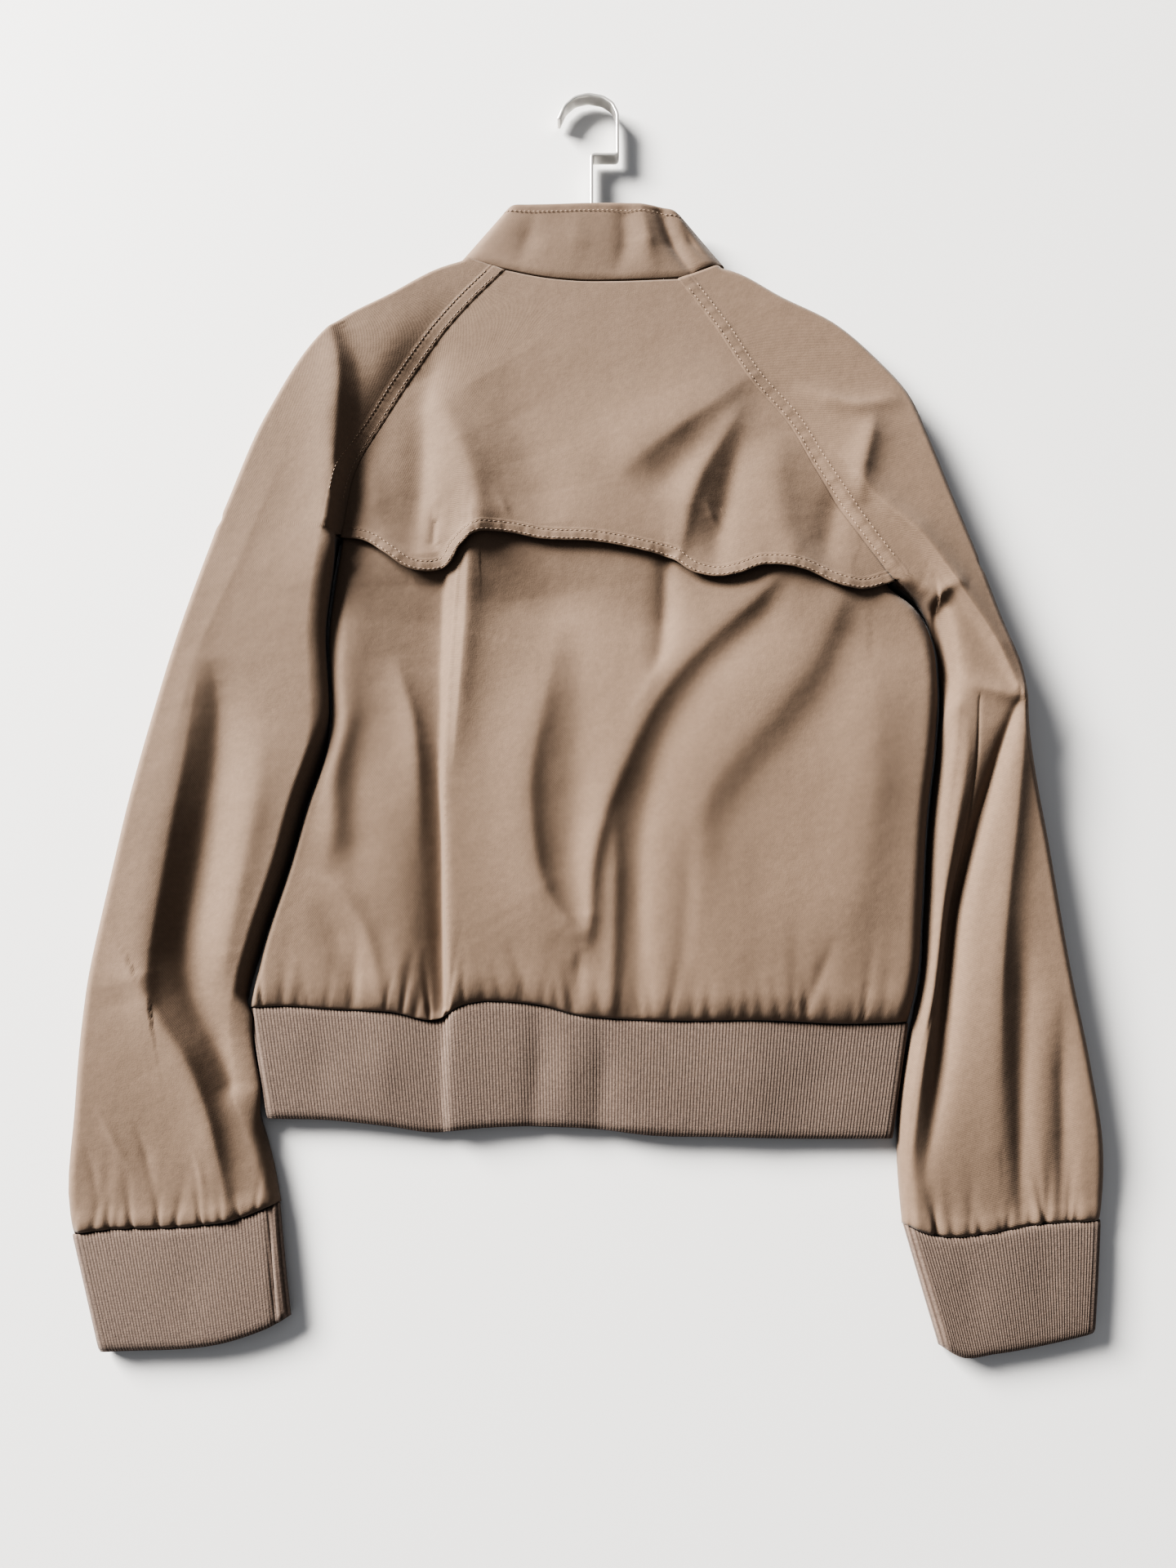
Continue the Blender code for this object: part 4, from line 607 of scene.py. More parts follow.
def lay_uv(mesh, columns, size_u, size_v):
    """UV map of a grid in metres of cloth, so that the weave keeps its size and its grain."""
    layer = mesh.loops.layers.uv.new("cloth")
    mesh.verts.index_update()
    for face in mesh.faces:
        for loop in face.loops:
            row, column = divmod(loop.vert.index, columns)
            loop[layer].uv = (size_u[column], size_v[row])


def sheet_mesh(points):
    """A grid with the weave's UV map, closed where its edges meet."""
    mesh = grid_mesh(points)
    lay_uv(mesh, points.shape[1], *panel_sizes(points))
    bmesh.ops.remove_doubles(mesh, verts=mesh.verts[:], dist=1e-6)
    return mesh


def panel_sizes(points):
    """Metres of cloth across and up the middle of a grid."""
    def run(line):
        return np.concatenate([[0], np.cumsum(np.linalg.norm(np.diff(line, axis=0), axis=1))]) * MM
    return run(points[len(points) // 2]), run(points[:, points.shape[1] // 2])


def piece(name, mesh, material, slot, *nodes, wall=0.0):
    """A finished object of the jacket, which stands for those nodes.

    A wall gives its cloth that thickness, inwards from the mesh.
    """
    data = bpy.data.meshes.new(name)
    mesh.to_mesh(data)
    mesh.free()
    data.shade_smooth()
    made = bpy.data.objects.new(name, data)
    bpy.context.scene.collection.objects.link(made)
    made.data.materials.append(material)
    if wall:
        solid = made.modifiers.new("wall", "SOLIDIFY")
        solid.thickness = wall
        solid.offset = -1
    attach(made, BODY)
    if nodes:
        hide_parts(*nodes)
    return made


# ---------------------------------------------------------------- materials
def principled(name, colour, roughness, metallic=0.0):
    """A material of that name and its node tree, with a plain shader."""
    material = bpy.data.materials.new(name)
    material.use_nodes = True
    tree = material.node_tree
    shader = tree.nodes["Principled BSDF"]
    shader.inputs["Base Color"].default_value = (*colour, 1.0)
    shader.inputs["Roughness"].default_value = roughness
    shader.inputs["Metallic"].default_value = metallic
    return material, tree, shader


def add(tree, kind, links=(), **values):
    """A node with its values, and links from (socket, input)."""
    node = tree.nodes.new(kind)
    for key, value in values.items():
        if hasattr(node, key):
            setattr(node, key, value)
        else:
            node.inputs[key.replace("_", " ")].default_value = value
    for source, target in links:
        tree.links.new(source, node.inputs[target])
    return node


def object_place(tree):
    """The piece's own coordinates, as a socket."""
    return add(tree, "ShaderNodeTexCoord").outputs["Object"]


def cloth_place(tree):
    """Metres along the piece's cloth, as a socket."""
    return add(tree, "ShaderNodeUVMap", uv_map="cloth").outputs["UV"]


def noise(tree, place, scale, detail, roughness=0.5):
    """Noise of that scale, as a socket."""
    return add(tree, "ShaderNodeTexNoise", [(place, "Vector")], Scale=scale, Detail=detail,
               Roughness=roughness).outputs["Fac"]


def bands(tree, place, direction, scale, distortion, detail=2.0):
    """Parallel bands, as a socket."""
    return add(tree, "ShaderNodeTexWave", [(place, "Vector")], wave_type="BANDS",
               bands_direction=direction, Scale=scale, Distortion=distortion,
               Detail=detail).outputs["Fac"]


def relief(tree, shader, *layers):
    """Bump from layers of height, distance and strength, each over the one before."""
    normal = None
    for height, distance, strength in layers:
        bump = add(tree, "ShaderNodeBump", [(height, "Height")], Distance=distance,
                   Strength=strength)
        if normal:
            tree.links.new(normal, bump.inputs["Normal"])
        normal = bump.outputs["Normal"]
    tree.links.new(normal, shader.inputs["Normal"])


def soft_gloss(shader, sheen, sheen_roughness, specular):
    """The faint sheen and weak gloss of cloth."""
    shader.inputs["Sheen Weight"].default_value = sheen
    shader.inputs["Sheen Roughness"].default_value = sheen_roughness
    shader.inputs["Specular IOR Level"].default_value = specular


def mottled(tree, shader, colour, source, depth):
    """Base colour that varies a little in value across the cloth."""
    dark = tuple(c * (1 - depth) for c in colour)
    light = tuple(min(c * (1 + depth), 1) for c in colour)
    ramp = add(tree, "ShaderNodeValToRGB", [(source, "Fac")])
    ramp.color_ramp.elements[0].position, ramp.color_ramp.elements[1].position = 0.3, 0.7
    ramp.color_ramp.elements[0].color = (*dark, 1)
    ramp.color_ramp.elements[1].color = (*light, 1)
    tree.links.new(ramp.outputs["Color"], shader.inputs["Base Color"])


def cotton_material(name, colour):
    """Fine twill with a faint sheen: crumpled, a little fuzzy, with its diagonal lines."""
    cloth, _ = settings()
    material, tree, shader = principled(name, colour, 0.8)
    soft_gloss(shader, 0.12, 0.45, 0.22)
    place = object_place(tree)
    crumple, fuzz = noise(tree, place, 42.0, 3.0), noise(tree, place, 1100.0, 3.0)
    twill = bands(tree, cloth_place(tree), "DIAGONAL", WAVE_PERIOD / cloth.weave, 0.6, 1.0)
    mottled(tree, shader, colour, noise(tree, place, 260.0, 4.0, 0.65), 0.07)
    relief(tree, shader, (crumple, 0.0016, 0.5), (fuzz, 0.00025, 0.5), (twill, 0.00012, 0.6))
    return material


def knit_material(name, colour):
    """Rib knit: small stitches up each rib, painted shade that darkens the colour between the
    ribs, and a woolly surface.
    """
    material, tree, shader = principled(name, colour, 0.85)
    soft_gloss(shader, 0.1, 0.6, 0.2)
    place = object_place(tree)
    wool = noise(tree, place, 900.0, 4.0, 0.7)
    stitches = bands(tree, cloth_place(tree), "Y", WAVE_PERIOD / KNIT_STITCH, 5.0)
    mottled(tree, shader, colour, noise(tree, place, 520.0, 4.0, 0.7), 0.28)
    # painted shade: the colour is multiplied darker on the valleys between the ribs and kept full
    # on their crests
    crest = add(tree, "ShaderNodeAttribute", attribute_name="crest")
    shade = add(tree, "ShaderNodeValToRGB", [(crest.outputs["Fac"], "Fac")])
    shade.color_ramp.elements[0].position, shade.color_ramp.elements[1].position = 0.1, 0.7
    shade.color_ramp.elements[0].color = (0.45, 0.42, 0.40, 1)
    ribs = add(tree, "ShaderNodeMix", data_type="RGBA", blend_type="MULTIPLY")
    ribs.inputs["Factor"].default_value = 1.0
    tree.links.new(shader.inputs["Base Color"].links[0].from_socket, ribs.inputs[6])
    tree.links.new(shade.outputs["Color"], ribs.inputs[7])
    tree.links.new(ribs.outputs[2], shader.inputs["Base Color"])
    relief(tree, shader, (wool, 0.0005, 0.6), (stitches, 0.0001, 0.4))
    return material


def thread_material(name, colour):
    """Twisted polyester thread."""
    material, tree, shader = principled(name, colour, 0.55)
    mottled(tree, shader, colour, noise(tree, object_place(tree), 2500.0, 2.0), 0.1)
    return material


def tape_material(name, colour):
    """Woven zip tape: fine ribs along it."""
    material, tree, shader = principled(name, colour, 0.8)
    place = object_place(tree)
    mottled(tree, shader, colour, noise(tree, place, 700.0, 2.0), 0.1)
    relief(tree, shader, (bands(tree, place, "X", 420.0, 0.4), 0.0002, 0.5))
    return material


def metal_material(name, colour, roughness, grain):
    """Satin metal with fine brushing along the strip."""
    material, tree, shader = principled(name, colour, roughness, 1.0)
    stretch = add(tree, "ShaderNodeMapping", [(object_place(tree), "Vector")])
    stretch.inputs["Scale"].default_value = (1, 1, 30)
    relief(tree, shader, (noise(tree, stretch.outputs["Vector"], grain, 3.0), 0.0001, 0.15))
    return material


def made_once(name, make, *values):
    """The material of that name, made the first time that it is asked for."""
    return bpy.data.materials.get(name) or make(name, *values)


def cotton():
    """The jacket's cloth."""
    return made_once("cotton", cotton_material, tuple(settings()[0].colour))


def knit():
    """The hem's and the cuffs' rib knit."""
    return made_once("knit", knit_material, tuple(settings()[1].colour))


# ---------------------------------------------------------------- surfaces of the panels
def flap_surface(x, y):
    """The storm flap: the body's height, lifted towards its free edge, with a stitched border."""
    across = (x - SCALLOP[0][0]) / (SCALLOP[-1][0] - SCALLOP[0][0])
    lift = np.full(x.shape, FLAP_LIFT)
    for share, width, rise in FLAP_ARCHES:
        lift += rise * np.exp(-((across - share) / width) ** 2)
    lift *= np.clip(np.minimum(across, 1 - across) / 0.08, 0, 1)
    above = np.maximum(y - line_at(SCALLOP, x), 0)
    offset, run, _ = along(x, y, SCALLOP, 30)
    height = body_height(x, y) + lift * np.exp(-((above / FLAP_REACH) ** 2))
    return height + puckers(np.abs(offset), run, *FLAP_BORDER)


def back_surface(x, y):
    """The back: it sinks below the flap, and puffs out before it is gathered into the hem rib."""
    distance = np.maximum(y - line_at(HEM_SEAM, x), 0)
    below = line_at(SCALLOP, x) - y
    # the trough below the flap is deepest in the middle of the back
    middle = 0.35 + 0.65 * smooth((x + 95) / 45) * smooth((75 - x) / 30)
    height = body_height(x, y) + gathers(x, distance, *HEM_GATHERS)
    height -= FLAP_SHADOW[0] * np.exp(-(np.maximum(below, 0) / FLAP_SHADOW[1]) ** 2)
    depth, place, reach = BELOW_FLAP
    height -= depth * middle * np.exp(-((below - place) / reach) ** 2)
    height = PUFF_FOOT + (height - PUFF_FOOT) * quarter_round(distance / PUFF_REACH)
    low, high = LEFT_ROUND
    radius = low + (high - low) * smooth((y + 110) / 40)
    height = rounded(height, x, y, BODY_LEFT, radius, RIM)
    return rounded(height, x, y, BODY_RIGHT, BODY_ROUND, RIM)


def sleeve_surface(x, y, sleeve):
    """A sleeve's upper side, joined to the body's height at its raglan seam."""
    own = rolling(x, y, sleeve.heights) + folded(x, y, sleeve.folds)
    seam, run, _ = along(x, y, sleeve.raglan)
    near = np.exp(-((seam / (5 + 15 * smooth((y - 125) / 60))) ** 2))
    height = near * (body_height(x, y) + 0.35) + (1 - near) * own
    height += puckers(np.abs(seam), run, *RAGLAN_STRIP, sleeve.seed)
    cuff = np.maximum(y - line_at(sleeve.cuff_seam, x), 0)
    height += gathers(x, cuff, CUFF_GATHERS, sleeve.seed,
                      sleeve.cuff_seam[0][0] + CUFF_GATHER_INSET,
                      sleeve.cuff_seam[-1][0] - CUFF_GATHER_INSET, CUFF_GATHER_RISE)
    # the cloth puffs out beside the cuff's seam, and dips at it
    height += 1.0 * np.exp(-((cuff - 6) / 6) ** 2) - 1.3 * np.exp(-(cuff / 1.2) ** 2)
    for edge in (sleeve.outer, sleeve.shoulder):
        height = rounded(height, x, y, edge, SLEEVE_ROUND, RIM)
    rim = RIM + sum(rise * np.exp(-((x - px) ** 2 + (y - py) ** 2) / reach**2)
                    for px, py, rise, reach in RIM_LIFTS)
    return rounded(height, x, y, sleeve.inner, SLEEVE_ROUND, rim)


def denser(count, places):
    """Shares from 0 to 1, closer together around the places given as share, width and factor."""
    fine = np.linspace(0, 1, 4001)
    density = np.ones(len(fine))
    for at, width, factor in places:
        density += factor * np.exp(-((fine - at) / width) ** 2)
    total = np.concatenate([[0], np.cumsum((density[1:] + density[:-1]) / 2)])
    return np.interp(np.linspace(0, 1, count), total / total[-1], fine)


def surface_grid(plan, surface, *of):
    """The points of a plan, raised onto a surface."""
    return np.dstack([plan[..., 0], plan[..., 1], surface(plan[..., 0], plan[..., 1], *of)])


def yoke_plan(across, rows):
    """Plan of the storm flap, and of the back under it."""
    return patch(spline(SCALLOP), spline(NECK_SEAM), spline(RAGLAN_LEFT), spline(RAGLAN_RIGHT),
                 across, rows)


def make_back():
    """The back: its cloth below the flap, and on under it up to the neck."""
    cloth, _ = settings()
    across = denser(cloth.columns, [(0, 0.02, 1.5), (1, 0.02, 1.5), (0.26, 0.06, 2.0)])
    low = patch(spline(HEM_SEAM), spline(SCALLOP), spline(BODY_LEFT), spline(BODY_RIGHT),
                across, denser(BACK_ROWS, [(0, 0.03, 1.5)]))
    hidden = yoke_plan(across, np.linspace(0, 1, HIDDEN_ROWS))
    grid = surface_grid(np.concatenate([low, hidden[1:]]), back_surface)
    # the layer at the pleat's right laps over the one at its left
    offset, run, length = along(grid[..., 0], grid[..., 1], PLEAT, 9)
    over = (offset > 0) * np.clip(1 - offset / PLEAT_LAP_REACH, 0, 1) ** 2
    grid[..., 0] -= PLEAT_LAP * over * smooth((length - run) / 60) * smooth(run / 40)
    made = piece("back_cloth", sheet_mesh(grid), cotton(), "cloth",
                 "back", wall=cloth.thickness)


def make_yoke():
    """The storm flap, sewn in along the raglan seams and the neck."""
    cloth, _ = settings()
    plan = yoke_plan(np.linspace(0, 1, YOKE_COLUMNS), denser(YOKE_ROWS, [(0, 0.06, 2)]))
    made = piece("yoke_cloth", sheet_mesh(surface_grid(plan, flap_surface)), cotton(), "cloth",
                 "back_yoke", wall=1.5 * cloth.thickness)


def bulged(grid, edge, radius, reach, low, high):
    """Push a rounded edge out over its neighbour, between two heights of the plan."""
    x, y = grid[..., 0], grid[..., 1]
    share = np.clip(np.abs(along(x, y, edge)[0]) / radius, 0, 1)
    fade = smooth((y - low) / 40) * smooth((high - y) / 20)
    grid[..., 0] += reach * 6.75 * share * (1 - share) ** 2 * fade


def tube_rows(top, under, left):
    """Top and underside of a sleeve as one grid that goes round its outer edge."""
    if left:
        return np.concatenate([under[:, ::-1], top[:, 1:]], axis=1)
    return np.concatenate([top, under[:, ::-1][:, 1:]], axis=1)


def make_sleeve(sleeve):
    """One sleeve: its upper side and its underside, joined along its outer and inner edges."""
    cloth, _ = settings()
    front_raglan = sleeve.raglan[:-1] + [sleeve.front_neck[-1 if sleeve.left else 0]]
    sides, uppers = (sleeve.outer, sleeve.inner), (sleeve.shoulder, sleeve.raglan)
    front_uppers = (sleeve.shoulder, front_raglan)
    outer_column, inner_column = 0, -1
    if not sleeve.left:
        sides, uppers, front_uppers = sides[::-1], uppers[::-1], front_uppers[::-1]
        outer_column, inner_column = -1, 0
    underarm = straight(sides[0][-1], sides[1][-1])
    low_rows, high_rows = np.linspace(0, 1, SLEEVE_ROWS), np.linspace(0, 1, SHOULDER_ROWS)

    def panel(columns, upper_sides, top_edge):
        across = denser(columns, [(0, 0.03, 3), (1, 0.03, 3)])
        low = patch(spline(sleeve.cuff_seam), underarm, spline(sides[0]), spline(sides[1]),
                    across, low_rows)
        high = patch(underarm, top_edge, spline(upper_sides[0]), spline(upper_sides[1]),
                     across, high_rows)
        return np.concatenate([low, high[1:]])

    top_plan = panel(TOP_COLUMNS, uppers, straight(uppers[0][-1], uppers[1][-1]))
    top = surface_grid(top_plan, sleeve_surface, sleeve)
    for reach, low_y, high_y in sleeve.bulges:
        bulged(top, sleeve.inner, SLEEVE_ROUND, reach, low_y, high_y)
    top[:, outer_column, 2] = np.minimum(top[:, outer_column, 2], RIM)
    under_plan = panel(UNDER_COLUMNS, front_uppers, spline(sleeve.front_neck))
    under = np.dstack([under_plan, np.full(under_plan.shape[:2], UNDERSIDE)])
    under[:, outer_column] = top[:, outer_column]
    under[:SLEEVE_ROWS, inner_column] = top[:SLEEVE_ROWS, inner_column]
    grid = tube_rows(top, under, sleeve.left)
    return piece(sleeve.name, sheet_mesh(grid), cotton(), "cloth", *sleeve.nodes,
                 wall=cloth.thickness)


def make_sleeves():
    """Both sleeves, which lie beside the body."""
    left, right = make_sleeve(LEFT_SLEEVE), make_sleeve(RIGHT_SLEEVE)


def make_collar():
    """The stand collar, stitched along its top edge; gives the points that face up."""
    cloth, _ = settings()
    share = np.linspace(0, 1, COLLAR_COLUMNS)
    seam, top = (spline(points, even=True)(share) for points in (COLLAR_SEAM, COLLAR_TOP))
    up = np.concatenate([[0, 0.02, 0.05], np.linspace(0.1, 0.94, 22), [0.965, 0.985, 1]])
    grid = np.array([(1 - v) * seam + v * top for v in up])
    x, y, z = np.moveaxis(grid, 2, 0)
    upper = smooth((z - 12) / 7)
    edge = (1 - up[:, None]) * np.linalg.norm(top - seam, axis=1)[None]
    row = -0.4 * np.exp(-((edge - COLLAR_ROW) / 0.9) ** 2) - 0.9 * np.exp(-(edge / 1.2) ** 2)
    grid[..., 2] += upper * (folded(x, y, COLLAR_FOLDS) + row + COLLAR_LEAN * up[:, None]
                             - 1.2 * np.exp(-((up[:, None] / 0.03) ** 2)))
    made = piece("collar_cloth", sheet_mesh(grid), cotton(), "cloth", "collar",
                 wall=2.2 * cloth.thickness)
    return grid[:, z[-1] > 17]


def rib_band(name, node, seam, edge, high, half_opening, folds):
    """A rib knit tube laid flat: the underside, round an end, over the top and back."""
    _, rib = settings()
    pitch = rib.pitch / MM
    ribs = round((seam[-1][0] - seam[0][0]) / pitch)
    quarter = np.radians(np.linspace(-90, 90, 11))
    up = np.concatenate([[0, 0.006, 0.018, 0.035], np.linspace(0.08, 0.92, 9), [0.96, 0.985, 1]])
    rows = []
    for v in up:
        left = (1 - v) * edge[0][0] + v * seam[0][0] + high / 2
        right = (1 - v) * edge[-1][0] + v * seam[-1][0] - high / 2
        middle = 0 if half_opening else (left + right) / 2
        over = np.linspace(left, right, 2 * ribs + 1)
        x = np.concatenate([
            np.linspace(middle - half_opening, left, ribs)[:-1], left - np.cos(quarter) * high / 2,
            over[1:-1], right + np.cos(quarter) * high / 2,
            np.linspace(right, middle + half_opening, ribs)[1:]])
        turn = (1 + np.sin(quarter)) / 2
        z = np.concatenate([np.zeros(ribs - 1), turn, np.ones(len(over) - 2), turn[::-1],
                            np.zeros(ribs - 1)])
        bottom, top = line_at(edge, x), line_at(seam, x)
        straight_bottom = np.interp(x, (edge[0][0], edge[-1][0]), (edge[0][1], edge[-1][1]))
        straight_top = np.interp(x, (seam[0][0], seam[-1][0]), (seam[0][1], seam[-1][1]))
        bottom = z * bottom + (1 - z) * straight_bottom
        top = z * top + (1 - z) * straight_top
        y = (1 - v) * bottom + v * (top - 0.4)
        relief = rib.rise / MM * (np.arange(len(x)) % 2) * smooth(v / 0.03)
        # the band's folded edge and its seam are rounded, and it swells between them
        ends = 1.4 * np.exp(-((y - bottom) / 2) ** 2) + 1.0 * np.exp(-((top - y) / 1.6) ** 2)
        bulge = 0.8 * np.sin(np.pi * v)
        lift = z * (folded(x, y, folds) + bulge - ends)
        height = UNDERSIDE + z * (high - 0.9) + lift + (z > 0.5) * relief
        rows.append(np.column_stack([x, y, height]))
    mesh = grid_mesh(np.array(rows))
    # marks the ribs' crests, which the knit's painted shade between the ribs reads
    crest = mesh.verts.layers.float.new("crest")
    for vertex, value in zip(mesh.verts, np.tile(np.arange(len(x)) % 2, len(rows))):
        vertex[crest] = float(value)
    lay_uv(mesh, len(x), *panel_sizes(np.array(rows)))
    return piece(name, mesh, knit(), "rib", node, wall=rib.thickness)


def make_ribs():
    """The hem rib and both cuffs."""
    hem = rib_band("hem_knit", "hem_rib", HEM_SEAM, HEM_EDGE, HEM_HIGH, 6, HEM_FOLDS)
    left = rib_band("cuff_left_knit", "cuff_left", CUFF_SEAM_LEFT, CUFF_EDGE_LEFT, CUFF_HIGH, 0,
                    CUFF_LEFT_FOLDS)
    right = rib_band("cuff_right_knit", "cuff_right", CUFF_SEAM_RIGHT, CUFF_EDGE_RIGHT, CUFF_HIGH,
                     0, CUFF_RIGHT_FOLDS)


def make_fronts():
    """The two fronts, which lie on the surface with a few soft creases that lift off it."""
    cloth, _ = settings()
    edge_reach = 20
    for name, node, sign, side, raglan, cut in (
            ("front_left_cloth", "front_left", -1, BODY_LEFT, RAGLAN_LEFT, 0.098),
            ("front_right_cloth", "front_right", 1, BODY_RIGHT, RAGLAN_RIGHT, 0.110)):
        neck = [(-sign * x, y) for x, y in FRONT_NECK]
        outer = side + raglan[1:-1] + [neck[0]]
        centre = [(sign * 5, side[0][1] - 1), neck[-1]]
        sides = (outer, centre) if sign < 0 else (centre, outer)
        tops = neck if sign < 0 else neck[::-1]
        plan = patch(straight(sides[0][0], sides[1][0]), spline(tops), spline(sides[0]),
                     spline(sides[1]), np.linspace(0, 1, FRONT_COLUMNS),
                     np.linspace(0, 1, FRONT_ROWS))
        x, y = plan[..., 0], plan[..., 1]
        lift = folded(np.abs(x), y, FRONT_LIFTS)
        from_seam = np.minimum(np.abs(along(x, y, outer, edge_reach)[0]), edge_reach)
        lift *= smooth((from_seam - 2) / 14)
        grid = np.dstack([x, y, UNDERSIDE + lift])[:, ::-1]
        made = piece(name, sheet_mesh(grid), cotton(), "cloth", node, wall=cloth.thickness)


# ---------------------------------------------------------------- sewing
def beads(name, rows, material, slot):
    """Rows of short stitches, joined: each row is a line of points in space."""
    cloth, _ = settings()
    mesh = bmesh.new()
    for row in rows:
        row = row + np.array(PLAN_SHIFT)
        run = np.concatenate([[0], np.cumsum(np.linalg.norm(np.diff(row, axis=0), axis=1))])
        count = int(run[-1] * MM / cloth.stitch)
        places = (np.arange(count) + 0.5) * run[-1] / count
        half = STITCH_SHARE / 2 * cloth.stitch / MM
        starts, ends = (np.column_stack([np.interp(places + k * half, run, row[:, i])
                                         for i in range(3)]) for k in (-1, 1))
        for start, end in zip(starts, ends):
            middle, way = Vector((start + end) / 2 * MM), Vector(end - start)
            turn = way.to_track_quat("X", "Z").to_matrix().to_4x4()
            size = Matrix.Diagonal((way.length / 2 * MM, *(h * MM for h in STITCH_HALVES), 1))
            bmesh.ops.create_icosphere(mesh, subdivisions=1, radius=1,
                                       matrix=Matrix.Translation(middle) @ turn @ size)
    return piece(name, mesh, material, slot)


def offset_line(points, distance, count=160):
    """A line at that distance to the right of a plan line."""
    path = spline(points)(np.linspace(0, 1, count))
    ahead = np.gradient(path, axis=0)
    ahead /= np.linalg.norm(ahead, axis=1)[:, None]
    return path + distance * np.column_stack([ahead[:, 1], -ahead[:, 0]])


def on_surface(line, surface, *of):
    """The line of a row of stitches on a surface."""
    return np.column_stack([line, surface(line[:, 0], line[:, 1], *of) + STITCH_LIFT])


def make_stitches(collar):
    """Rows of topstitching along the flap, the raglan seams and the collar's top edge."""
    thread = made_once("thread", thread_material, tuple(settings()[0].thread))
    flap = [on_surface(offset_line(SCALLOP, -distance, 400)[8:-8], flap_surface)
            for distance in FLAP_ROWS]
    raglan = [on_surface(offset_line(seam, side * distance)[first:-6], sleeve_surface, sleeve)
              for sleeve, seam, side, first in ((LEFT_SLEEVE, RAGLAN_LEFT, -1, 18),
                                                (RIGHT_SLEEVE, RAGLAN_RIGHT, 1, 8))
              for distance in RAGLAN_ROWS]
    beads("flap_stitches", flap, thread, "cloth")
    beads("raglan_stitches", raglan, thread, "cloth")
    share = (COLLAR_ROW / np.linalg.norm(collar[-1] - collar[0], axis=1))[:, None]
    line = (1 - share) * collar[-1] + share * collar[0]
    line[:, 2] = [np.interp(1 - s, np.linspace(0, 1, len(collar)), collar[:, i, 2]) + 0.2
                  for i, s in enumerate(share[:, 0])]
    beads("collar_stitches", [line], thread, "cloth")


# ---------------------------------------------------------------- zip and hanger
def cuboid(mesh, low, high):
    """Add a box between two corners in millimetres of plan."""
    low, high = Vector(low) + Vector(PLAN_SHIFT), Vector(high) + Vector(PLAN_SHIFT)
    size = Matrix.Diagonal((*((high - low) * MM), 1))
    bmesh.ops.create_cube(mesh, size=1,
                          matrix=Matrix.Translation((low + high) / 2 * MM) @ size)


def boxes_mesh(boxes, y):
    """A mesh of boxes between pairs of corners, whose y counts from the given one."""
    mesh = bmesh.new()
    for low, high in boxes:
        cuboid(mesh, (low[0], low[1] + y, low[2]), (high[0], high[1] + y, high[2]))
    return mesh


def bevel_all(mesh, offset, segments=2):
    """Soften every edge; the offset is in millimetres."""
    bmesh.ops.bevel(mesh, geom=mesh.edges[:], offset=offset * MM, segments=segments,
                    profile=0.5, affect="EDGES", material=-1)


def make_zip():
    """Tapes, teeth, slider and pull, on the inside of the fronts' edges."""
    tape_cloth = made_once("tape", tape_material, tuple(settings()[0].colour))
    brass = made_once("brass", metal_material, *BRASS)
    inner = TEETH_HALF + TAPE_GAP
    for name, node, side in (("tape_left", "zip_tape_left", -1),
                             ("tape_right", "zip_tape_right", 1)):
        x = side * np.linspace(inner, inner + TAPE_WIDTH, TAPE_COLUMNS)[::side]
        y = np.linspace(ZIP_FOOT, ZIP_TOP - 2, TAPE_ROWS)
        grid = np.dstack(np.broadcast_arrays(x[None], y[:, None], TAPE_HIGH))
        made = piece(name, sheet_mesh(grid), tape_cloth, "tape", node, wall=TAPE_WALL * MM)
    foot = ZIP_TOP - SLIDER_LENGTH
    teeth = bmesh.new()
    for i, y in enumerate(np.arange(ZIP_FOOT + 1.4, foot - 1.6, TOOTH_PITCH)):
        left, right = (TOOTH_SHORT, TOOTH_LONG) if i % 2 else (TOOTH_LONG, TOOTH_SHORT)
        cuboid(teeth, (-left, y - TOOTH_HALF, TOOTH_LOW), (right, y + TOOTH_HALF, TOOTH_HIGH))
    bevel_all(teeth, 0.22, 1)
    piece("zip_teeth_row", teeth, brass, "brass", "zip_teeth")
    slider = boxes_mesh(SLIDER_BOXES, foot)
    bevel_all(slider, 0.2)
    piece("slider_metal", slider, brass, "brass", "zip_slider")
    tab = boxes_mesh(PULL_BOXES, foot - HINGE_DROP)
    bevel_all(tab, 0.3)
    pull = piece("pull_tab", tab, brass, "brass", "zip_pull")
    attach(pull, "zip_pull")


def rounded_corners(points, radius):
    """The line with each sharp corner replaced by a short curve."""
    made = [np.array(points[0], float)]
    for before, here, after in zip(points[:-2], points[1:-1], points[2:]):
        before, here, after = (np.array(p, float) for p in (before, here, after))
        back, ahead = before - here, after - here
        cut = min(radius, np.linalg.norm(back) / 2.2, np.linalg.norm(ahead) / 2.2)
        start = here + back / np.linalg.norm(back) * cut
        end = here + ahead / np.linalg.norm(ahead) * cut
        made += [(1 - t) ** 2 * start + 2 * t * (1 - t) * here + t * t * end
                 for t in np.linspace(0, 1, 6)]
    return np.array(made + [np.array(points[-1], float)])


def make_hanger():
    """Arms and hook of flat steel strip on edge, with softened edges."""
    steel = made_once("steel", metal_material, *STEEL)
    arms = spline(HANGER_ARM)(np.linspace(0, 1, 60))
    for name, node, path in (("arms_steel", "hanger_arms", arms),
                             ("hook_steel", "hanger_hook", rounded_corners(HOOK, HOOK_CORNER))):
        heights = np.linspace(STRIP_LOW, STRIP_HIGH, 5)
        grid = np.array([np.column_stack([path, np.full(len(path), z)]) for z in heights])
        made = piece(name, sheet_mesh(grid), steel, "steel", node)
        strip = made.modifiers.new("strip", "SOLIDIFY")
        strip.thickness = STRIP_WALL * MM
        strip.offset = 0
        soften = made.modifiers.new("soften", "BEVEL")
        soften.width = STRIP_EDGE * MM
        soften.segments = 2


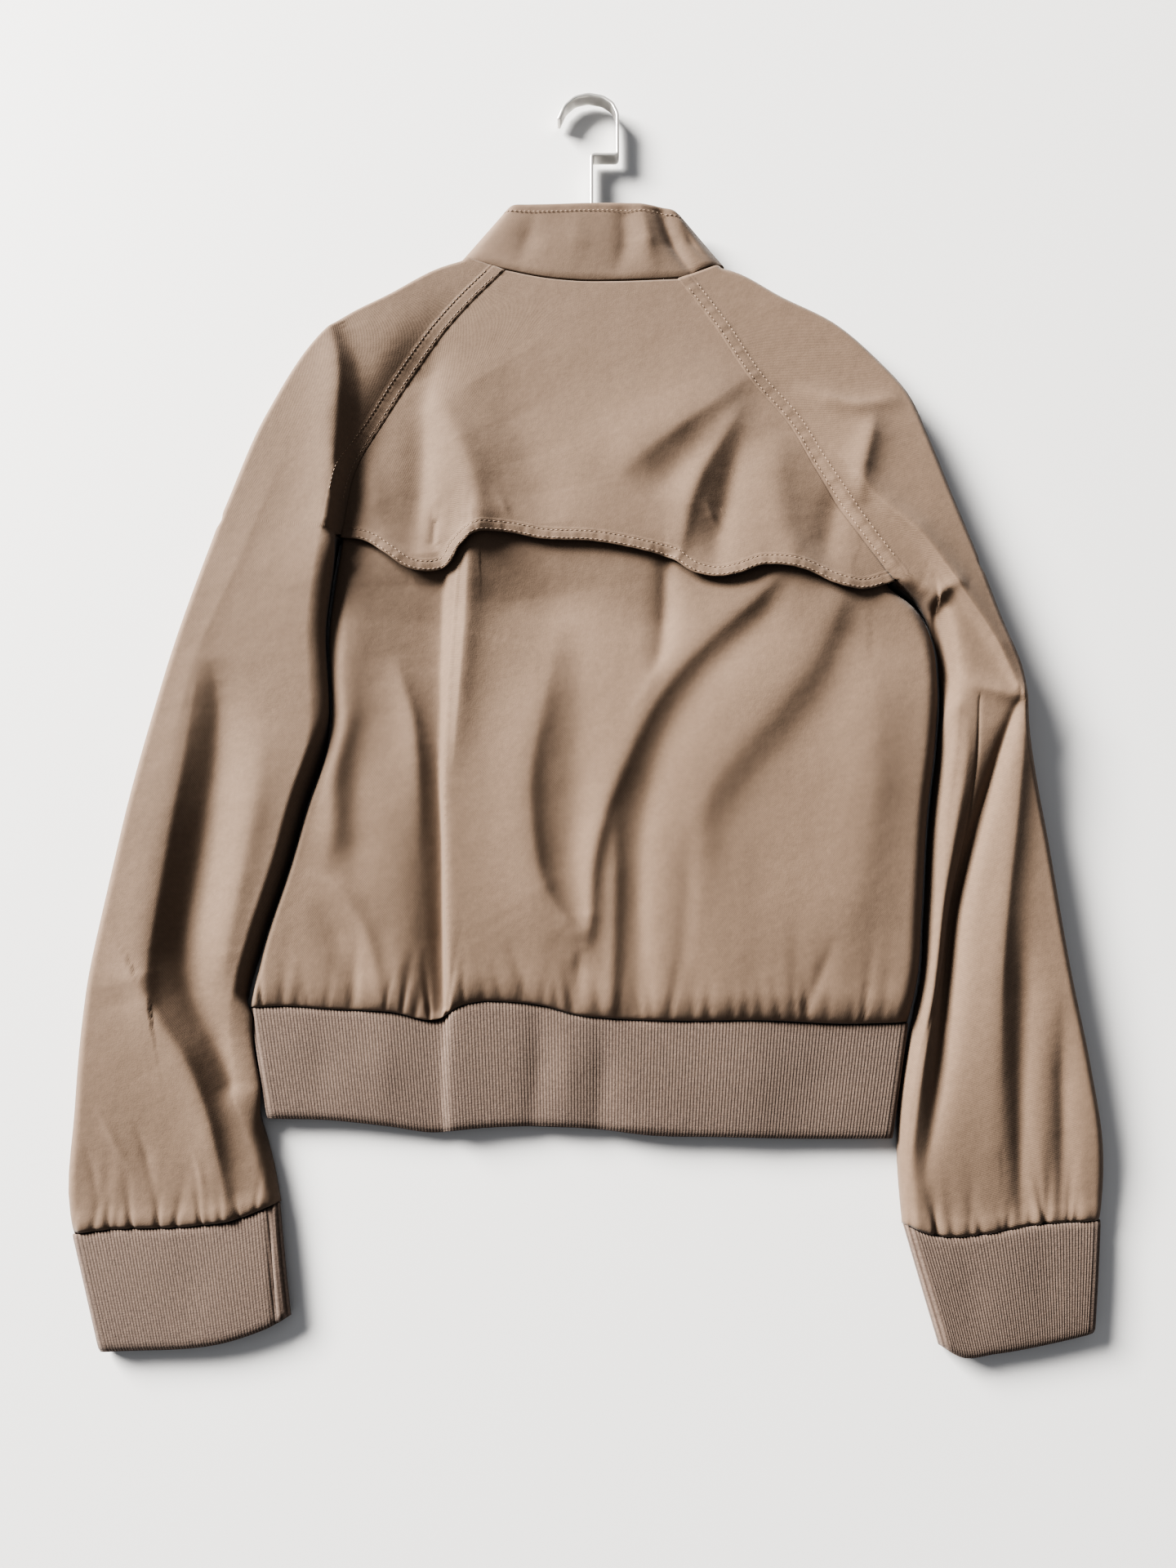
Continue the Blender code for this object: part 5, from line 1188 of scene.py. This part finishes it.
def make_stage():
    """The camera, the plain floor, the window's light and the room's."""
    scene = bpy.context.scene
    look = scene.jacket_stage
    camera_data = bpy.data.cameras.new("camera")
    camera_data.lens = look.lens
    camera_data.sensor_width = 36
    camera_data.clip_start = 0.01
    camera = bpy.data.objects.new("camera", camera_data)
    camera.location = look.camera
    camera.rotation_euler = (look.tilt, 0, 0)
    scene.collection.objects.link(camera)
    scene.camera = camera
    mesh = bmesh.new()
    bmesh.ops.create_grid(mesh, x_segments=1, y_segments=1, size=FLOOR_SIZE,
                          matrix=Matrix.Translation((0, 0, FLOOR_HIGH)))
    data = bpy.data.meshes.new("floor")
    mesh.to_mesh(data)
    mesh.free()
    floor = bpy.data.objects.new("floor", data)
    scene.collection.objects.link(floor)
    data.materials.append(principled("floor", tuple(look.floor), 0.7)[0])

    light = bpy.data.lights.new("window", "AREA")
    light.shape = "RECTANGLE"
    light.size, light.size_y = WINDOW_SIZE
    light.energy = look.window
    light.color = WINDOW_COLOUR
    window = bpy.data.objects.new("window", light)
    window.location = WINDOW_PLACE
    window.rotation_euler = (-window.location).to_track_quat("-Z", "Y").to_euler()
    scene.collection.objects.link(window)
    world = bpy.data.worlds.new("room")
    world.use_nodes = True
    background = world.node_tree.nodes["Background"]
    background.inputs["Color"].default_value = ROOM_COLOUR
    background.inputs["Strength"].default_value = ROOM_STRENGTH
    scene.world = world
    scene.view_settings.look = "AgX - High Contrast"
    scene.view_settings.exposure = 0.2


# ---------------------------------------------------------------- operators
class JACKET_OT_back(bpy.types.Operator):
    """Make the back below the storm flap"""
    bl_idname = "jacket.back"
    bl_label = "Back"

    def execute(self, context):
        make_back()
        return {"FINISHED"}


class JACKET_OT_yoke(bpy.types.Operator):
    """Make the scalloped storm flap"""
    bl_idname = "jacket.yoke"
    bl_label = "Storm Flap"

    def execute(self, context):
        make_yoke()
        return {"FINISHED"}


class JACKET_OT_sleeves(bpy.types.Operator):
    """Make both raglan sleeves"""
    bl_idname = "jacket.sleeves"
    bl_label = "Sleeves"

    def execute(self, context):
        make_sleeves()
        return {"FINISHED"}


class JACKET_OT_collar(bpy.types.Operator):
    """Make the collar and the rows of topstitching"""
    bl_idname = "jacket.collar"
    bl_label = "Collar and Stitching"

    def execute(self, context):
        make_stitches(make_collar())
        return {"FINISHED"}


class JACKET_OT_ribs(bpy.types.Operator):
    """Make the hem rib and the cuffs"""
    bl_idname = "jacket.ribs"
    bl_label = "Hem and Cuffs"

    def execute(self, context):
        make_ribs()
        return {"FINISHED"}


class JACKET_OT_fronts(bpy.types.Operator):
    """Make the fronts that lie on the surface"""
    bl_idname = "jacket.fronts"
    bl_label = "Fronts"

    def execute(self, context):
        make_fronts()
        return {"FINISHED"}


class JACKET_OT_zip(bpy.types.Operator):
    """Make the zip"""
    bl_idname = "jacket.zip"
    bl_label = "Zip"

    def execute(self, context):
        make_zip()
        return {"FINISHED"}


class JACKET_OT_hanger(bpy.types.Operator):
    """Make the hanger"""
    bl_idname = "jacket.hanger"
    bl_label = "Hanger"

    def execute(self, context):
        make_hanger()
        return {"FINISHED"}


class JACKET_OT_stage(bpy.types.Operator):
    """Make the camera, the light and the floor"""
    bl_idname = "jacket.stage"
    bl_label = "Camera, Light and Floor"

    def execute(self, context):
        make_stage()
        return {"FINISHED"}


OPERATORS = (JACKET_OT_fronts, JACKET_OT_back, JACKET_OT_yoke, JACKET_OT_sleeves,
             JACKET_OT_collar, JACKET_OT_ribs, JACKET_OT_zip, JACKET_OT_hanger,
             JACKET_OT_stage)


class VIEW3D_PT_jacket(bpy.types.Panel):
    """Settings and steps of the jacket"""
    bl_idname = "VIEW3D_PT_jacket"
    bl_label = "Bomber Jacket"
    bl_space_type = "VIEW_3D"
    bl_region_type = "UI"
    bl_category = "Jacket"

    def draw(self, context):
        column = self.layout.column()
        for group in (context.scene.jacket_cloth, context.scene.jacket_rib,
                      context.scene.jacket_stage):
            for name in group.__annotations__:
                column.prop(group, name)
        for operator in OPERATORS:
            column.operator(operator.bl_idname)


GROUPS = {"jacket_cloth": JacketCloth, "jacket_rib": JacketRib, "jacket_stage": JacketStage}


def register():
    """Register the classes and the groups of settings."""
    for made in (*GROUPS.values(), *OPERATORS, VIEW3D_PT_jacket):
        bpy.utils.register_class(made)
    for name, group in GROUPS.items():
        setattr(bpy.types.Scene, name, PointerProperty(type=group))


def unregister():
    """Take them away again."""
    for name in GROUPS:
        delattr(bpy.types.Scene, name)
    for made in (VIEW3D_PT_jacket, *reversed(OPERATORS), *reversed(list(GROUPS.values()))):
        bpy.utils.unregister_class(made)


def main():
    """Make the jacket step by step."""
    register()
    for operator in OPERATORS:
        group, name = operator.bl_idname.split(".")
        getattr(getattr(bpy.ops, group), name)()


if __name__ == "__main__":
    main()
